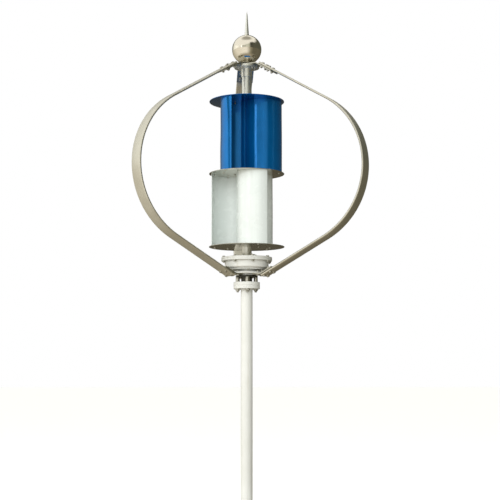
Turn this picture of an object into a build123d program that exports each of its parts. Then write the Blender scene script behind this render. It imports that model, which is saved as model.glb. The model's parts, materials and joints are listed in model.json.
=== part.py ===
from build123d import *
import math
import os

# Small hybrid wind turbine with an upright axis. Millimetres, +Z up.
# The origin is the centre of the base plate's underside, on the axis of the mast.

# ---------------------------------------------------------------- driving dimensions
# mast and base
BASE_SIDE = 300.0
BASE_T = 12.0
BASE_CORNER_R = 12.0
ANCHOR_PITCH = 230.0
ANCHOR_R = 9.0
CABLE_HOLE_R = 23.0
GUSSET_REACH = 125.0
GUSSET_HEIGHT = 90.0
GUSSET_T = 6.0
GUSSET_TOE = 12.0
GUSSET_TOP_WIDTH = 10.0
MAST_R = 28.5
MAST_BORE_R = 25.0
FLANGE_R = 64.0
MAST_FLANGE_T = 16.0
JOINT_Z = 1140.0
NECK_FLANGE_T = 17.0
FLANGE_EDGE = 1.5

# neck and spindle
PILLAR_R = 10.0
PILLAR_RING_R = 44.0
NECK_TOP_Z = 1182.0
SPINDLE_BASE_T = 6.0
SPINDLE_BASE_R = 54.0
STUD_R = 6.0
SPINDLE_BORE_R = 10.0
SPINDLE_FOOT_R = 30.0
SPINDLE_NECK_R = 27.0
SHOULDER_R = 24.0
LEAD_HOLE_R = 4.0
LEAD_HOLE_Z = 1221.0
SPINDLE_NUT_R = 19.0
SPINDLE_NUT_T = 6.0
GROMMET_BORE_R = 7.0
GROMMET_LIP_R = 13.0

# bearings: bore radius, outside radius, width, bottom face, ball radius
LOWER_BEARING = dict(bore=20.0, outside=40.0, width=18.0, z=1195.0, ball=6.0)
UPPER_BEARING = dict(bore=15.0, outside=31.0, width=16.0, z=1263.0, ball=4.75)
BALL_COUNT = 9
RACE_CLEARANCE = 0.15
POCKET_CLEARANCE = 0.3

# generator
CASE_R = 107.0
CASE_WALL = 6.0
CASE_FLOOR_Z = 1224.0
CASE_FLOOR_T = 6.0
RIM_R = 124.0
RIM_Z = 1259.5
COVER_Z = 1269.0
COVER_TOP_Z = 1279.0
RIM_BOLT_RING_R = 116.0
RIM_BOLT_COUNT = 8
RIM_BOLT_FIRST = 11.25
IRON_IN_R = 46.0
IRON_OUT_R = 98.0
IRON_T = 6.0
MAGNET_COUNT = 12
MAGNET_RING_R = 75.0
MAGNET_LENGTH = 38.0
MAGNET_WIDTH = 20.0
MAGNET_T = 5.0
AIR_GAP = 1.5
STATOR_IN_R = 32.0
STATOR_OUT_R = 98.0
STATOR_FLANGE_R = 42.0
STATOR_FLANGE_T = 4.0
STATOR_HUB_Z = 1231.0
STATOR_HUB_TOP_Z = 1261.0
STATOR_SCREW_RING_R = 37.0
COIL_COUNT = 9
COIL_LENGTH = 40.0
COIL_WIDTH = 30.0
COIL_WALL = 9.0
COIL_COVER = 2.0
COIL_CORNER_R = 6.0
COIL_EYE_CORNER_R = 4.0

# lower hub
HUB_BOTTOM_Z = 1191.0
HUB_TUBE_R = 47.0
BLADE_FLANGE_R = 86.0
BLADE_FLANGE_Z = 1197.0
BLADE_FLANGE_T = 7.0
HUB_TOP_FLANGE_R = 92.0
HUB_TOP_FLANGE_T = 7.0
HUB_SCREW_RING_R = 80.0
HUB_SCREW_FIRST = 30.0
HUB_SCREW_LENGTH = 12.5

# rotor shaft and top hub
SHAFT_R = 24.15
SHAFT_BORE_R = 20.15
SHAFT_FLANGE_R = 50.0
SHAFT_FLANGE_T = 8.0
SHAFT_SOCKET_R = 29.0
SHAFT_SOCKET_H = 10.0
SHAFT_SCREW_RING_R = 43.0
SHAFT_SCREW_LENGTH = 17.5
HUB_PLATE_Z = 2222.0
HUB_PLATE_T = 12.0
HUB_PLATE_R = 62.0
HUB_BOSS_R = 26.0
HUB_BOSS_H = 12.0
HUB_SOCKET_R = 27.5
HUB_SOCKET_H = 44.0
BALL_R = 73.0
BALL_WALL = 2.0
NEEDLE_R = 11.0
NEEDLE_COLLAR_H = 5.0
NEEDLE_POINT_R = 3.5
NEEDLE_POINT_Z = 2496.0
NEEDLE_TIP_Z = 2513.0
FINIAL_BOLT_R = 6.0
FINIAL_BOLT_HEAD = 18.0
FINIAL_BOLT_REACH = 18.0

# Savonius stages
DISC_R = 185.0
DISC_T = 2.5
BOTTOM_DISC_Z = 1329.0
STAGE_PITCH = 361.0
SLEEVE_R = 27.0
SLEEVE_BORE_R = 24.35
BUCKET_R = 93.0
BUCKET_OFFSET = 80.0
SHEET_T = 1.5
BUCKET_FLANGE_END = 213.0
TAB_ANGLES = (-28.0, -85.0, -138.0)
TAB_DEPTH = 17.0
TAB_HALF_ANGLE = 7.0
TAB_SCREW_INSET = 9.0
RIVET_COUNT = 6
RIVET_MARGIN = 30.0
RIVET_R = 2.0
RIVET_HEAD_R = 4.0
SLEEVE_SCREW_AZIMUTH = 291.0
SLEEVE_SCREW_MARGIN = 18.0
SLEEVE_SCREW_SEAT = 1.2
UPPER_TIPS = (0.0, 120.0, 240.0)
LOWER_TIPS = (60.0, 180.0, 300.0)

# Darrieus blades: two straight runs joined by one arc
BLADE_AZIMUTHS = (90.0, 210.0, 330.0)
BLADE_CHORD = 80.0
BLADE_T = 11.0
BLADE_WALL = 2.0
BLADE_ARC_R = 385.0
BLADE_ARC_CENTRE = (235.0, 1698.5)
UPPER_SLOPE = 30.7
LOWER_SLOPE = 28.0
UPPER_END_RHO = 84.0
LOWER_END_RHO = 94.0
UPPER_BOLT_RHOS = (98.0, 132.0)
LOWER_BOLT_RHOS = (102.0, 134.0)
BOLT_SPREAD = 23.0
BRACKET_T = 6.0
BRACKET_WIDTH = 82.0
BRACKET_END_RHO = 150.0
UPPER_TAB_RHO = 29.0
LOWER_TAB_RHO = 48.0
UPPER_TAB_BOLTS = dict(rho=37.0, spread=15.0)
LOWER_TAB_BOLTS = dict(rho=68.0, spread=22.0)

# fasteners
M8_R = 4.0
M6_R = 3.0
M5_R = 2.5
HOLE_PLAY = 0.2
PRESS_PLAY = 0.05

# ---------------------------------------------------------------- worked-out values
NECK_FLANGE_TOP = JOINT_Z + NECK_FLANGE_T
MAST_TOP_Z = JOINT_Z - MAST_FLANGE_T
SPINDLE_BASE_TOP = NECK_TOP_Z + SPINDLE_BASE_T
SPINDLE_TOP_Z = COVER_TOP_Z + SPINDLE_NUT_T + 1.5
CASE_FLOOR_TOP = CASE_FLOOR_Z + CASE_FLOOR_T
LOWER_MAGNET_Z = CASE_FLOOR_TOP + IRON_T
UPPER_IRON_Z = COVER_Z - IRON_T
UPPER_MAGNET_Z = UPPER_IRON_Z - MAGNET_T
STATOR_Z = LOWER_MAGNET_Z + MAGNET_T + AIR_GAP
STATOR_TOP_Z = UPPER_MAGNET_Z - AIR_GAP
SHAFT_Z = COVER_TOP_Z + SHAFT_FLANGE_T
HUB_PLATE_TOP = HUB_PLATE_Z + HUB_PLATE_T
UPPER_TAB_TOP = HUB_PLATE_TOP + BRACKET_T
BALL_FOOT_Z = HUB_PLATE_TOP + HUB_BOSS_H
BALL_Z = BALL_FOOT_Z + BALL_R - 1.0
BALL_TOP_Z = BALL_Z + BALL_R
MIDDLE_DISC_Z = BOTTOM_DISC_Z + STAGE_PITCH
TOP_DISC_Z = MIDDLE_DISC_Z + STAGE_PITCH
STAGE_HEIGHT = STAGE_PITCH - DISC_T
STAGE_FLOORS = (BOTTOM_DISC_Z + DISC_T, MIDDLE_DISC_Z + DISC_T)
FROM_BOTTOM = (Align.CENTER, Align.CENTER, Align.MIN)


# ---------------------------------------------------------------- helpers
def cyl(radius, z0, z1):
    """Upright cylinder on the axis."""
    return Pos(0, 0, z0) * Cylinder(radius, z1 - z0, align=FROM_BOTTOM)


def ring(inner, outer, z0, z1):
    """Upright ring on the axis."""
    return cyl(outer, z0, z1) - cyl(inner, z0 - 1, z1 + 1)


def polar(radius, angle):
    """X and Y of a point at a radius and an azimuth in degrees."""
    return radius * math.cos(math.radians(angle)), radius * math.sin(math.radians(angle))


def at_polar(radius, angle, z=0.0):
    """Location on a circle about the axis, turned to face outwards."""
    x, y = polar(radius, angle)
    return Pos(x, y, z) * Rot(0, 0, angle)


def spaced(count, first=0.0):
    """Evenly spaced azimuths."""
    return [first + 360.0 * i / count for i in range(count)]


def turned(points):
    """Solid of revolution about Z of a closed outline given as (radius, z)."""
    return revolve(Plane.XZ * make_face(Polyline(*points, close=True)), Axis.Z)


def hex_prism(across_flats, z0, z1):
    """Hexagonal prism on the local Z axis."""
    return Pos(0, 0, z0) * extrude(RegularPolygon(across_flats / 2, 6, major_radius=False), z1 - z0)


def bolt(radius, grip, tail=3.0):
    """Flanged hex bolt: head seated at local z = 0, shank down through the grip and the nut."""
    head = hex_prism(3.25 * radius, 0, 1.3 * radius) + cyl(2.1 * radius, 0, 0.3 * radius)
    return head + cyl(radius, -grip - 1.6 * radius - tail, 0.1)


def nut(radius, grip):
    """Flanged hex nut that closes the grip from below."""
    body = hex_prism(3.25 * radius, -grip - 1.6 * radius, -grip)
    collar = cyl(2.1 * radius, -grip - 0.3 * radius, -grip)
    return (body + collar) - cyl(radius + 0.1, -grip - 2 * radius, -grip + 1)


def bolt_and_nut(place, radius, grip):
    """A bolt and its nut as two solids at one place."""
    return [place * bolt(radius, grip), place * nut(radius, grip)]


def cap_screw(radius, length):
    """Socket-head screw: head above local z = 0, shank below."""
    socket = hex_prism(1.6 * radius, 1.0 * radius, 2.0 * radius)
    return cyl(1.65 * radius, 0, 1.9 * radius) - socket + cyl(radius, -length, 0.1)


def write(name, shapes):
    """Write one node; a list becomes a group of separate solids."""
    shape = Compound(shapes) if isinstance(shapes, list) else shapes
    export_step(shape, f"parts/{name}.step")


# ---------------------------------------------------------------- mast, standing still
def base_plate():
    plate = Box(BASE_SIDE, BASE_SIDE, BASE_T, align=FROM_BOTTOM)
    plate = fillet(plate.edges().filter_by(Axis.Z), BASE_CORNER_R)
    plate -= cyl(CABLE_HOLE_R, -1, BASE_T + 1)
    for x in (-ANCHOR_PITCH / 2, ANCHOR_PITCH / 2):
        for y in (-ANCHOR_PITCH / 2, ANCHOR_PITCH / 2):
            plate -= Pos(x, y, 0) * cyl(ANCHOR_R, -1, BASE_T + 1)
    return plate


def base_gussets():
    foot = BASE_T
    inside = MAST_R - 4
    top = foot + GUSSET_HEIGHT
    outline = Polyline((inside, foot), (GUSSET_REACH, foot), (GUSSET_REACH, foot + GUSSET_TOE),
                       (MAST_R + GUSSET_TOP_WIDTH, top), (inside, top), close=True)
    plate = extrude(Plane.XZ * make_face(outline), GUSSET_T / 2, both=True)
    plate -= cyl(MAST_R, foot - 1, foot + GUSSET_HEIGHT + 1)
    return [Rot(0, 0, angle) * plate for angle in spaced(4)]


def mast_tube():
    return ring(MAST_BORE_R, MAST_R, BASE_T, MAST_TOP_Z)


def mast_flange():
    flange = ring(MAST_BORE_R, FLANGE_R, MAST_TOP_Z, JOINT_Z)
    flange = chamfer(flange.edges().filter_by(GeomType.CIRCLE).group_by(SortBy.RADIUS)[-1], FLANGE_EDGE)
    for angle in spaced(4):
        flange -= at_polar(PILLAR_RING_R, angle) * cyl(STUD_R + HOLE_PLAY, MAST_TOP_Z - 1, JOINT_Z + 1)
    return flange


def neck_flange():
    flange = ring(SPINDLE_FOOT_R, FLANGE_R, JOINT_Z, NECK_FLANGE_TOP)
    flange = chamfer(flange.edges().filter_by(GeomType.CIRCLE).group_by(SortBy.RADIUS)[-1], FLANGE_EDGE)
    for angle in spaced(4):
        flange -= at_polar(PILLAR_RING_R, angle) * cyl(STUD_R + HOLE_PLAY, JOINT_Z - 1, NECK_FLANGE_TOP + 1)
    return flange


def neck_pillars():
    pillar = ring(STUD_R + HOLE_PLAY, PILLAR_R, NECK_FLANGE_TOP, NECK_TOP_Z)
    return [at_polar(PILLAR_RING_R, angle) * pillar for angle in spaced(4)]


def neck_studs():
    stud = cyl(STUD_R, MAST_TOP_Z - 16, SPINDLE_BASE_TOP)
    clamp_nut = Pos(0, 0, MAST_TOP_Z) * nut(STUD_R, 0)
    studs = [at_polar(PILLAR_RING_R, angle) * stud for angle in spaced(4)]
    return studs + [at_polar(PILLAR_RING_R, angle) * clamp_nut for angle in spaced(4)]


def spindle_base():
    disc = ring(SPINDLE_NECK_R, SPINDLE_BASE_R, NECK_TOP_Z, SPINDLE_BASE_TOP)
    for angle in spaced(4):
        disc -= at_polar(PILLAR_RING_R, angle) * cyl(STUD_R, NECK_TOP_Z - 1, SPINDLE_BASE_TOP + 1)
    return disc


def spindle():
    lower = LOWER_BEARING
    upper = UPPER_BEARING
    axle = turned([
        (SPINDLE_BORE_R, JOINT_Z), (SPINDLE_FOOT_R, JOINT_Z), (SPINDLE_FOOT_R, NECK_FLANGE_TOP),
        (SPINDLE_NECK_R, NECK_FLANGE_TOP), (SPINDLE_NECK_R, SPINDLE_BASE_TOP),
        (SHOULDER_R, SPINDLE_BASE_TOP), (SHOULDER_R, lower["z"]), (lower["bore"], lower["z"]),
        (lower["bore"], upper["z"]), (upper["bore"], upper["z"]), (upper["bore"], COVER_TOP_Z),
        (upper["bore"] - 1, COVER_TOP_Z), (upper["bore"] - 1, SPINDLE_TOP_Z),
        (SPINDLE_BORE_R, SPINDLE_TOP_Z)])
    lead_hole = Pos(0, 0, LEAD_HOLE_Z) * Rot(0, 90, 0) * Cylinder(LEAD_HOLE_R, 60, align=FROM_BOTTOM)
    return axle - lead_hole


def spindle_nut():
    body = ring(UPPER_BEARING["bore"] - 0.9, SPINDLE_NUT_R, COVER_TOP_Z, COVER_TOP_Z + SPINDLE_NUT_T)
    slot = Pos(SPINDLE_NUT_R, 0, COVER_TOP_Z) * Box(4, 5, 20)
    for angle in spaced(4):
        body -= Rot(0, 0, angle) * slot
    return body


def cable_grommet():
    lip = ring(GROMMET_BORE_R, GROMMET_LIP_R, JOINT_Z - 3, JOINT_Z)
    return lip + ring(GROMMET_BORE_R, SPINDLE_BORE_R - 0.1, JOINT_Z - 3, JOINT_Z + 9)


def stator_hub():
    hub = ring(LOWER_BEARING["bore"], STATOR_IN_R - HOLE_PLAY, STATOR_HUB_Z, STATOR_HUB_TOP_Z)
    hub += ring(LOWER_BEARING["bore"], STATOR_FLANGE_R, STATOR_Z - STATOR_FLANGE_T, STATOR_Z)
    for angle in spaced(6):
        hub -= at_polar(STATOR_SCREW_RING_R, angle) * cyl(M5_R + HOLE_PLAY, STATOR_HUB_Z, STATOR_Z + 1)
    return hub


def coil_blank(length, width, corner_r):
    half = (STATOR_TOP_Z - STATOR_Z) / 2 - COIL_COVER
    body = extrude(RectangleRounded(length, width, corner_r), half, both=True)
    return Pos(0, 0, (STATOR_Z + STATOR_TOP_Z) / 2) * body


def stator_coils():
    eye = coil_blank(COIL_LENGTH - 2 * COIL_WALL, COIL_WIDTH - 2 * COIL_WALL, COIL_EYE_CORNER_R)
    coil = coil_blank(COIL_LENGTH, COIL_WIDTH, COIL_CORNER_R) - eye
    return [at_polar(MAGNET_RING_R, angle) * coil for angle in spaced(COIL_COUNT)]


def stator_disc():
    disc = ring(STATOR_IN_R, STATOR_OUT_R, STATOR_Z, STATOR_TOP_Z)
    for angle in spaced(6):
        disc -= at_polar(STATOR_SCREW_RING_R, angle) * cyl(M5_R + HOLE_PLAY, STATOR_Z - 1, STATOR_TOP_Z + 1)
    for coil in stator_coils():
        disc -= coil
    return disc


def stator_screws():
    grip = STATOR_TOP_Z - STATOR_Z + STATOR_FLANGE_T
    screw = Pos(0, 0, STATOR_TOP_Z) * cap_screw(M5_R, grip - 0.5)
    return [at_polar(STATOR_SCREW_RING_R, angle) * screw for angle in spaced(6)]


# ---------------------------------------------------------------- bearings
def pitch_radius(bearing):
    return (bearing["bore"] + bearing["outside"]) / 2


def race(bearing):
    """Torus that the balls roll in."""
    middle = Pos(0, 0, bearing["z"] + bearing["width"] / 2)
    return middle * Torus(pitch_radius(bearing), bearing["ball"] + RACE_CLEARANCE)


def inner_ring(bearing):
    land = pitch_radius(bearing) - 0.68 * bearing["ball"]
    top = bearing["z"] + bearing["width"]
    return ring(bearing["bore"], land, bearing["z"], top) - race(bearing)


def outer_ring(bearing):
    land = pitch_radius(bearing) + 0.68 * bearing["ball"]
    top = bearing["z"] + bearing["width"]
    return ring(land, bearing["outside"], bearing["z"], top) - race(bearing)


def balls_and_cage(bearing):
    middle = bearing["z"] + bearing["width"] / 2
    half_height = 1.25 * bearing["ball"]
    half_wall = 0.3 * bearing["ball"]
    mean = pitch_radius(bearing)
    cage = ring(mean - half_wall, mean + half_wall, middle - half_height, middle + half_height)
    pocket = Rot(0, 90, 0) * Cylinder(bearing["ball"] + POCKET_CLEARANCE, 6 * half_wall)
    places = [at_polar(mean, angle, middle) for angle in spaced(BALL_COUNT)]
    for place in places:
        cage -= place * pocket
    return [cage] + [place * Sphere(bearing["ball"]) for place in places]


# ---------------------------------------------------------------- generator and lower hub, turning
def rim_bolt_places(z):
    return [at_polar(RIM_BOLT_RING_R, angle, z) for angle in spaced(RIM_BOLT_COUNT, RIM_BOLT_FIRST)]


def lower_case():
    inner_r = CASE_R - CASE_WALL
    hole_r = LOWER_BEARING["outside"] - 4
    case = turned([
        (hole_r, CASE_FLOOR_Z), (CASE_R - 5, CASE_FLOOR_Z), (CASE_R, CASE_FLOOR_Z + 5), (CASE_R, RIM_Z),
        (RIM_R, RIM_Z), (RIM_R, COVER_Z), (inner_r, COVER_Z), (inner_r, CASE_FLOOR_TOP),
        (hole_r, CASE_FLOOR_TOP)])
    for place in rim_bolt_places(RIM_Z):
        case -= place * cyl(M8_R + HOLE_PLAY, -1, 20)
    for angle in spaced(6, HUB_SCREW_FIRST):
        hole = cyl(M6_R + HOLE_PLAY, CASE_FLOOR_Z - 1, CASE_FLOOR_TOP + 1)
        case -= at_polar(HUB_SCREW_RING_R, angle) * hole
    return case


def upper_cover():
    boss_r = UPPER_BEARING["outside"] + 7
    cover = turned([
        (UPPER_BEARING["outside"], UPPER_BEARING["z"]), (boss_r, UPPER_BEARING["z"]), (boss_r, COVER_Z),
        (RIM_R, COVER_Z), (RIM_R, COVER_TOP_Z - 2), (RIM_R - 2, COVER_TOP_Z),
        (UPPER_BEARING["outside"], COVER_TOP_Z)])
    for place in rim_bolt_places(COVER_Z):
        cover -= place * cyl(M8_R + HOLE_PLAY, -1, 20)
    for angle in spaced(6):
        cover -= at_polar(SHAFT_SCREW_RING_R, angle) * cyl(M6_R + HOLE_PLAY, COVER_Z - 1, COVER_TOP_Z + 1)
    return cover


def rim_bolts():
    solids = []
    for place in rim_bolt_places(COVER_TOP_Z):
        solids += bolt_and_nut(place, M8_R, COVER_TOP_Z - RIM_Z)
    return solids


def back_irons():
    lower = ring(IRON_IN_R, IRON_OUT_R, CASE_FLOOR_TOP, LOWER_MAGNET_Z)
    return [lower, ring(IRON_IN_R, IRON_OUT_R, UPPER_IRON_Z, COVER_Z)]


def magnets():
    block = Box(MAGNET_LENGTH, MAGNET_WIDTH, MAGNET_T, align=FROM_BOTTOM)
    block = fillet(block.edges().filter_by(Axis.Z), 2)
    heights = (LOWER_MAGNET_Z, UPPER_MAGNET_Z)
    return [at_polar(MAGNET_RING_R, a, z) * block for z in heights for a in spaced(MAGNET_COUNT)]


def tab_bolt_places(bolts, z):
    """Places of the bolts through the three bracket tabs, two to a tab."""
    sides = (-bolts["spread"], bolts["spread"])
    return [Rot(0, 0, a) * Pos(bolts["rho"], y, z) for a in BLADE_AZIMUTHS for y in sides]


def lower_hub():
    bearing = LOWER_BEARING
    shoulder_r = bearing["outside"] - 4
    flange_top = BLADE_FLANGE_Z + BLADE_FLANGE_T
    top_flange_z = CASE_FLOOR_Z - HUB_TOP_FLANGE_T
    hub = turned([
        (bearing["outside"], HUB_BOTTOM_Z), (HUB_TUBE_R - 1, HUB_BOTTOM_Z), (HUB_TUBE_R, HUB_BOTTOM_Z + 1),
        (HUB_TUBE_R, BLADE_FLANGE_Z), (BLADE_FLANGE_R, BLADE_FLANGE_Z), (BLADE_FLANGE_R, flange_top),
        (HUB_TUBE_R + 5, flange_top), (HUB_TUBE_R + 2, flange_top + 4), (HUB_TUBE_R + 8, top_flange_z),
        (HUB_TOP_FLANGE_R, top_flange_z), (HUB_TOP_FLANGE_R, CASE_FLOOR_Z), (shoulder_r, CASE_FLOOR_Z),
        (shoulder_r, bearing["z"] + bearing["width"]), (bearing["outside"], bearing["z"] + bearing["width"])])
    for place in tab_bolt_places(LOWER_TAB_BOLTS, BLADE_FLANGE_Z):
        hub -= place * cyl(M8_R + HOLE_PLAY, -1, BLADE_FLANGE_T + 1)
    for angle in spaced(6, HUB_SCREW_FIRST):
        hub -= at_polar(HUB_SCREW_RING_R, angle) * cyl(M6_R + HOLE_PLAY, top_flange_z - 1, CASE_FLOOR_Z + 1)
    return hub


def case_screws():
    """Six screws up through the lower hub and six down through the shaft flange."""
    upward = Pos(0, 0, CASE_FLOOR_Z - HUB_TOP_FLANGE_T) * Rot(180, 0, 0) * cap_screw(M6_R, HUB_SCREW_LENGTH)
    downward = Pos(0, 0, SHAFT_Z) * cap_screw(M6_R, SHAFT_SCREW_LENGTH)
    solids = [at_polar(HUB_SCREW_RING_R, angle) * upward for angle in spaced(6, HUB_SCREW_FIRST)]
    return solids + [at_polar(SHAFT_SCREW_RING_R, angle) * downward for angle in spaced(6)]


def lower_seal():
    return turned([
        (SHOULDER_R + 0.4, HUB_BOTTOM_Z + 1.5), (SHOULDER_R + 1.6, HUB_BOTTOM_Z + 0.6),
        (LOWER_BEARING["outside"], HUB_BOTTOM_Z + 0.6), (LOWER_BEARING["outside"], HUB_BOTTOM_Z + 3.4),
        (SHOULDER_R + 3, HUB_BOTTOM_Z + 3.4)])


def shaft_flange():
    flange = ring(SPINDLE_NUT_R + 1, SHAFT_FLANGE_R, COVER_TOP_Z, SHAFT_Z)
    flange += ring(SHAFT_R, SHAFT_SOCKET_R, SHAFT_Z, SHAFT_Z + SHAFT_SOCKET_H)
    for angle in spaced(6):
        flange -= at_polar(SHAFT_SCREW_RING_R, angle) * cyl(M6_R + HOLE_PLAY, COVER_TOP_Z - 1, SHAFT_Z + 1)
    return flange


def rotor_shaft():
    return ring(SHAFT_BORE_R, SHAFT_R, SHAFT_Z, HUB_PLATE_Z)


# ---------------------------------------------------------------- Savonius stages, turning
def screw_spot(tip, angle):
    """Place of a bucket screw, seen from the bucket's own centre."""
    centre = Rot(0, 0, tip) * Pos(BUCKET_OFFSET, 0, 0)
    return centre * Rot(0, 0, angle) * Pos(BUCKET_R - TAB_SCREW_INSET, 0, 0)


def disc(z, stages):
    """End disc; stages are the tip azimuths of the buckets screwed to it."""
    plate = ring(SLEEVE_BORE_R, DISC_R, z, z + DISC_T)
    for tip in stages:
        for angle in TAB_ANGLES:
            plate -= screw_spot(tip, angle) * cyl(M5_R + HOLE_PLAY, z - 1, z + DISC_T + 1)
    return plate


def rivet_heights(floor):
    step = (STAGE_HEIGHT - 2 * RIVET_MARGIN) / (RIVET_COUNT - 1)
    return [floor + RIVET_MARGIN + step * i for i in range(RIVET_COUNT)]


def bucket_flange_start():
    """Azimuth, in the bucket's frame, where its sheet meets the sleeve."""
    x = (SLEEVE_R ** 2 + BUCKET_OFFSET ** 2 - BUCKET_R ** 2) / (2 * BUCKET_OFFSET)
    return 360.0 - math.degrees(math.acos(x / SLEEVE_R))


def sector(inner, outer, start, end):
    """Flat ring sector between two azimuths, less than half a turn."""
    reach = 3 * outer
    wedge = make_face(Polyline((0, 0), polar(reach, start), polar(reach, (start + end) / 2),
                               polar(reach, end), close=True))
    return (Circle(outer) - Circle(inner)) & wedge


def radial_hole(radius, azimuth, z):
    return Rot(0, 0, azimuth) * Pos(0, 0, z) * Rot(0, 90, 0) * Cylinder(radius, 60, align=FROM_BOTTOM)


def rivet_azimuth():
    return (BUCKET_FLANGE_END + bucket_flange_start()) / 2


def bucket(tip, floor):
    """Half-round sheet from its outer tip to the sleeve, with folded tabs and a riveted flange."""
    half_t = SHEET_T / 2
    to_centre = Pos(BUCKET_OFFSET, 0)
    sheet = Circle(BUCKET_R + half_t) - Circle(BUCKET_R - half_t)
    sheet = to_centre * (sheet & (Pos(0, -BUCKET_R) * Rectangle(3 * BUCKET_R, 2 * BUCKET_R)))
    sheet -= Circle(SLEEVE_R)
    hem = sector(SLEEVE_R, SLEEVE_R + SHEET_T, BUCKET_FLANGE_END, bucket_flange_start() + 1)
    shell = extrude(sheet + hem, STAGE_HEIGHT)
    for angle in TAB_ANGLES:
        flat = sector(BUCKET_R - TAB_DEPTH, BUCKET_R, angle - TAB_HALF_ANGLE, angle + TAB_HALF_ANGLE)
        flat = to_centre * flat
        shell += extrude(flat, SHEET_T)
        shell += Pos(0, 0, STAGE_HEIGHT - SHEET_T) * extrude(flat, SHEET_T)
    for angle in TAB_ANGLES:
        shell -= screw_spot(0, angle) * cyl(M5_R + HOLE_PLAY, -1, STAGE_HEIGHT + 1)
    for z in rivet_heights(0):
        shell -= radial_hole(RIVET_R + PRESS_PLAY, rivet_azimuth(), z)
    return Pos(0, 0, floor) * Rot(0, 0, tip) * shell


def bucket_screws():
    """Screw and nut at each tab: head on the disc, nut on the tab."""
    grip = DISC_T + SHEET_T
    solids = []
    for floor, tips in zip(STAGE_FLOORS, (LOWER_TIPS, UPPER_TIPS)):
        below = Pos(0, 0, floor - DISC_T) * Rot(180, 0, 0)
        above = Pos(0, 0, floor + STAGE_HEIGHT + DISC_T)
        for tip in tips:
            for angle in TAB_ANGLES:
                for side in (below, above):
                    place = screw_spot(tip, angle) * side
                    solids += [place * bolt(M5_R, grip, 1.5), place * nut(M5_R, grip)]
    return solids


def sleeve_screw_heights(floor):
    return floor + SLEEVE_SCREW_MARGIN, floor + STAGE_HEIGHT - SLEEVE_SCREW_MARGIN


def sleeve(floor, tips):
    tube = ring(SLEEVE_BORE_R, SLEEVE_R, floor, floor + STAGE_HEIGHT)
    for tip in tips:
        for z in rivet_heights(floor):
            tube -= radial_hole(RIVET_R + PRESS_PLAY, tip + rivet_azimuth(), z)
    for z in sleeve_screw_heights(floor):
        tube -= radial_hole(M6_R + PRESS_PLAY, tips[0] + SLEEVE_SCREW_AZIMUTH, z)
    return tube


def sleeve_screws():
    """Clamp screws that lock each sleeve to the shaft."""
    seat = SLEEVE_R + SLEEVE_SCREW_SEAT
    screw = Rot(0, 90, 0) * (Pos(0, 0, seat) * cap_screw(M6_R, seat - SHAFT_R))
    solids = []
    for floor, tips in zip(STAGE_FLOORS, (LOWER_TIPS, UPPER_TIPS)):
        for z in sleeve_screw_heights(floor):
            solids.append(Pos(0, 0, z) * Rot(0, 0, tips[0] + SLEEVE_SCREW_AZIMUTH) * screw)
    return solids


def rivets():
    """Dome-headed rivets through each bucket flange and the sleeve."""
    seat = SLEEVE_R + SHEET_T
    dome = (Pos(0, 0, seat - 2.2) * Sphere(4.6)) & cyl(RIVET_HEAD_R, seat + 0.02, seat + 5)
    rivet = Rot(0, 90, 0) * (dome + cyl(RIVET_R, SLEEVE_BORE_R + 0.1, seat + 0.3))
    solids = []
    for floor, tips in zip(STAGE_FLOORS, (LOWER_TIPS, UPPER_TIPS)):
        for tip in tips:
            for z in rivet_heights(floor):
                solids.append(Pos(0, 0, z) * Rot(0, 0, tip + rivet_azimuth()) * rivet)
    return solids


# ---------------------------------------------------------------- Darrieus blades, turning
def run_z(rho, upper):
    """Height of the blade's mid-line on a straight run."""
    cx, cz = BLADE_ARC_CENTRE
    slope = UPPER_SLOPE if upper else LOWER_SLOPE
    sign = 1 if upper else -1
    turn = math.radians(90 - slope)
    touch_rho = cx + BLADE_ARC_R * math.cos(turn)
    touch_z = cz + sign * BLADE_ARC_R * math.sin(turn)
    return touch_z + sign * (touch_rho - rho) * math.tan(math.radians(slope))


def run_normal(upper):
    """Outward normal of a straight run, in the blade's own X-Z plane."""
    slope = math.radians(UPPER_SLOPE if upper else LOWER_SLOPE)
    return math.sin(slope), 0.0, math.cos(slope) if upper else -math.cos(slope)


def strip(width, thickness):
    """Strip with round edges along the blade's mid-line, chord along Y."""
    cx, cz = BLADE_ARC_CENTRE
    section = SlotOverall(width, thickness)
    equator = Plane(origin=(cx + BLADE_ARC_R, 0, cz), x_dir=(0, 1, 0), z_dir=(0, 0, 1))
    body = None
    for upper, slope, end_rho in ((True, UPPER_SLOPE, UPPER_END_RHO), (False, LOWER_SLOPE, LOWER_END_RHO)):
        sign = 1 if upper else -1
        turn = math.radians(90 - slope)
        touch = (cx + BLADE_ARC_R * math.cos(turn), 0, cz + sign * BLADE_ARC_R * math.sin(turn))
        inward = (-math.cos(math.radians(slope)), 0, sign * math.sin(math.radians(slope)))
        length = (touch[0] - end_rho) / math.cos(math.radians(slope))
        arc = revolve(equator * section, Axis((cx, 0, cz), (0, -sign, 0)), 90 - slope)
        run = extrude(Plane(origin=touch, x_dir=(0, 1, 0), z_dir=inward) * section, length)
        body = arc + run if body is None else body + arc + run
    return body


def blade_bolt_places(upper):
    """Bolt places on one blade: local z is the outward normal, z = 0 on the blade's outer face."""
    normal = run_normal(upper)
    places = []
    for rho in UPPER_BOLT_RHOS if upper else LOWER_BOLT_RHOS:
        mid = Vector(rho, 0, run_z(rho, upper)) + Vector(*normal) * (BLADE_T / 2)
        frame = Plane(origin=mid, x_dir=(0, 1, 0), z_dir=normal)
        places += [Location(frame) * Pos(y, 0, 0) for y in (-BOLT_SPREAD, BOLT_SPREAD)]
    return places


def blade_blank():
    cavity = strip(BLADE_CHORD - 2 * BLADE_WALL, BLADE_T - 2 * BLADE_WALL)
    blade = strip(BLADE_CHORD, BLADE_T) - cavity
    for upper in (True, False):
        for place in blade_bolt_places(upper):
            blade -= place * cyl(M8_R + HOLE_PLAY, -BLADE_T - 2, 2)
    return blade


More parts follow.
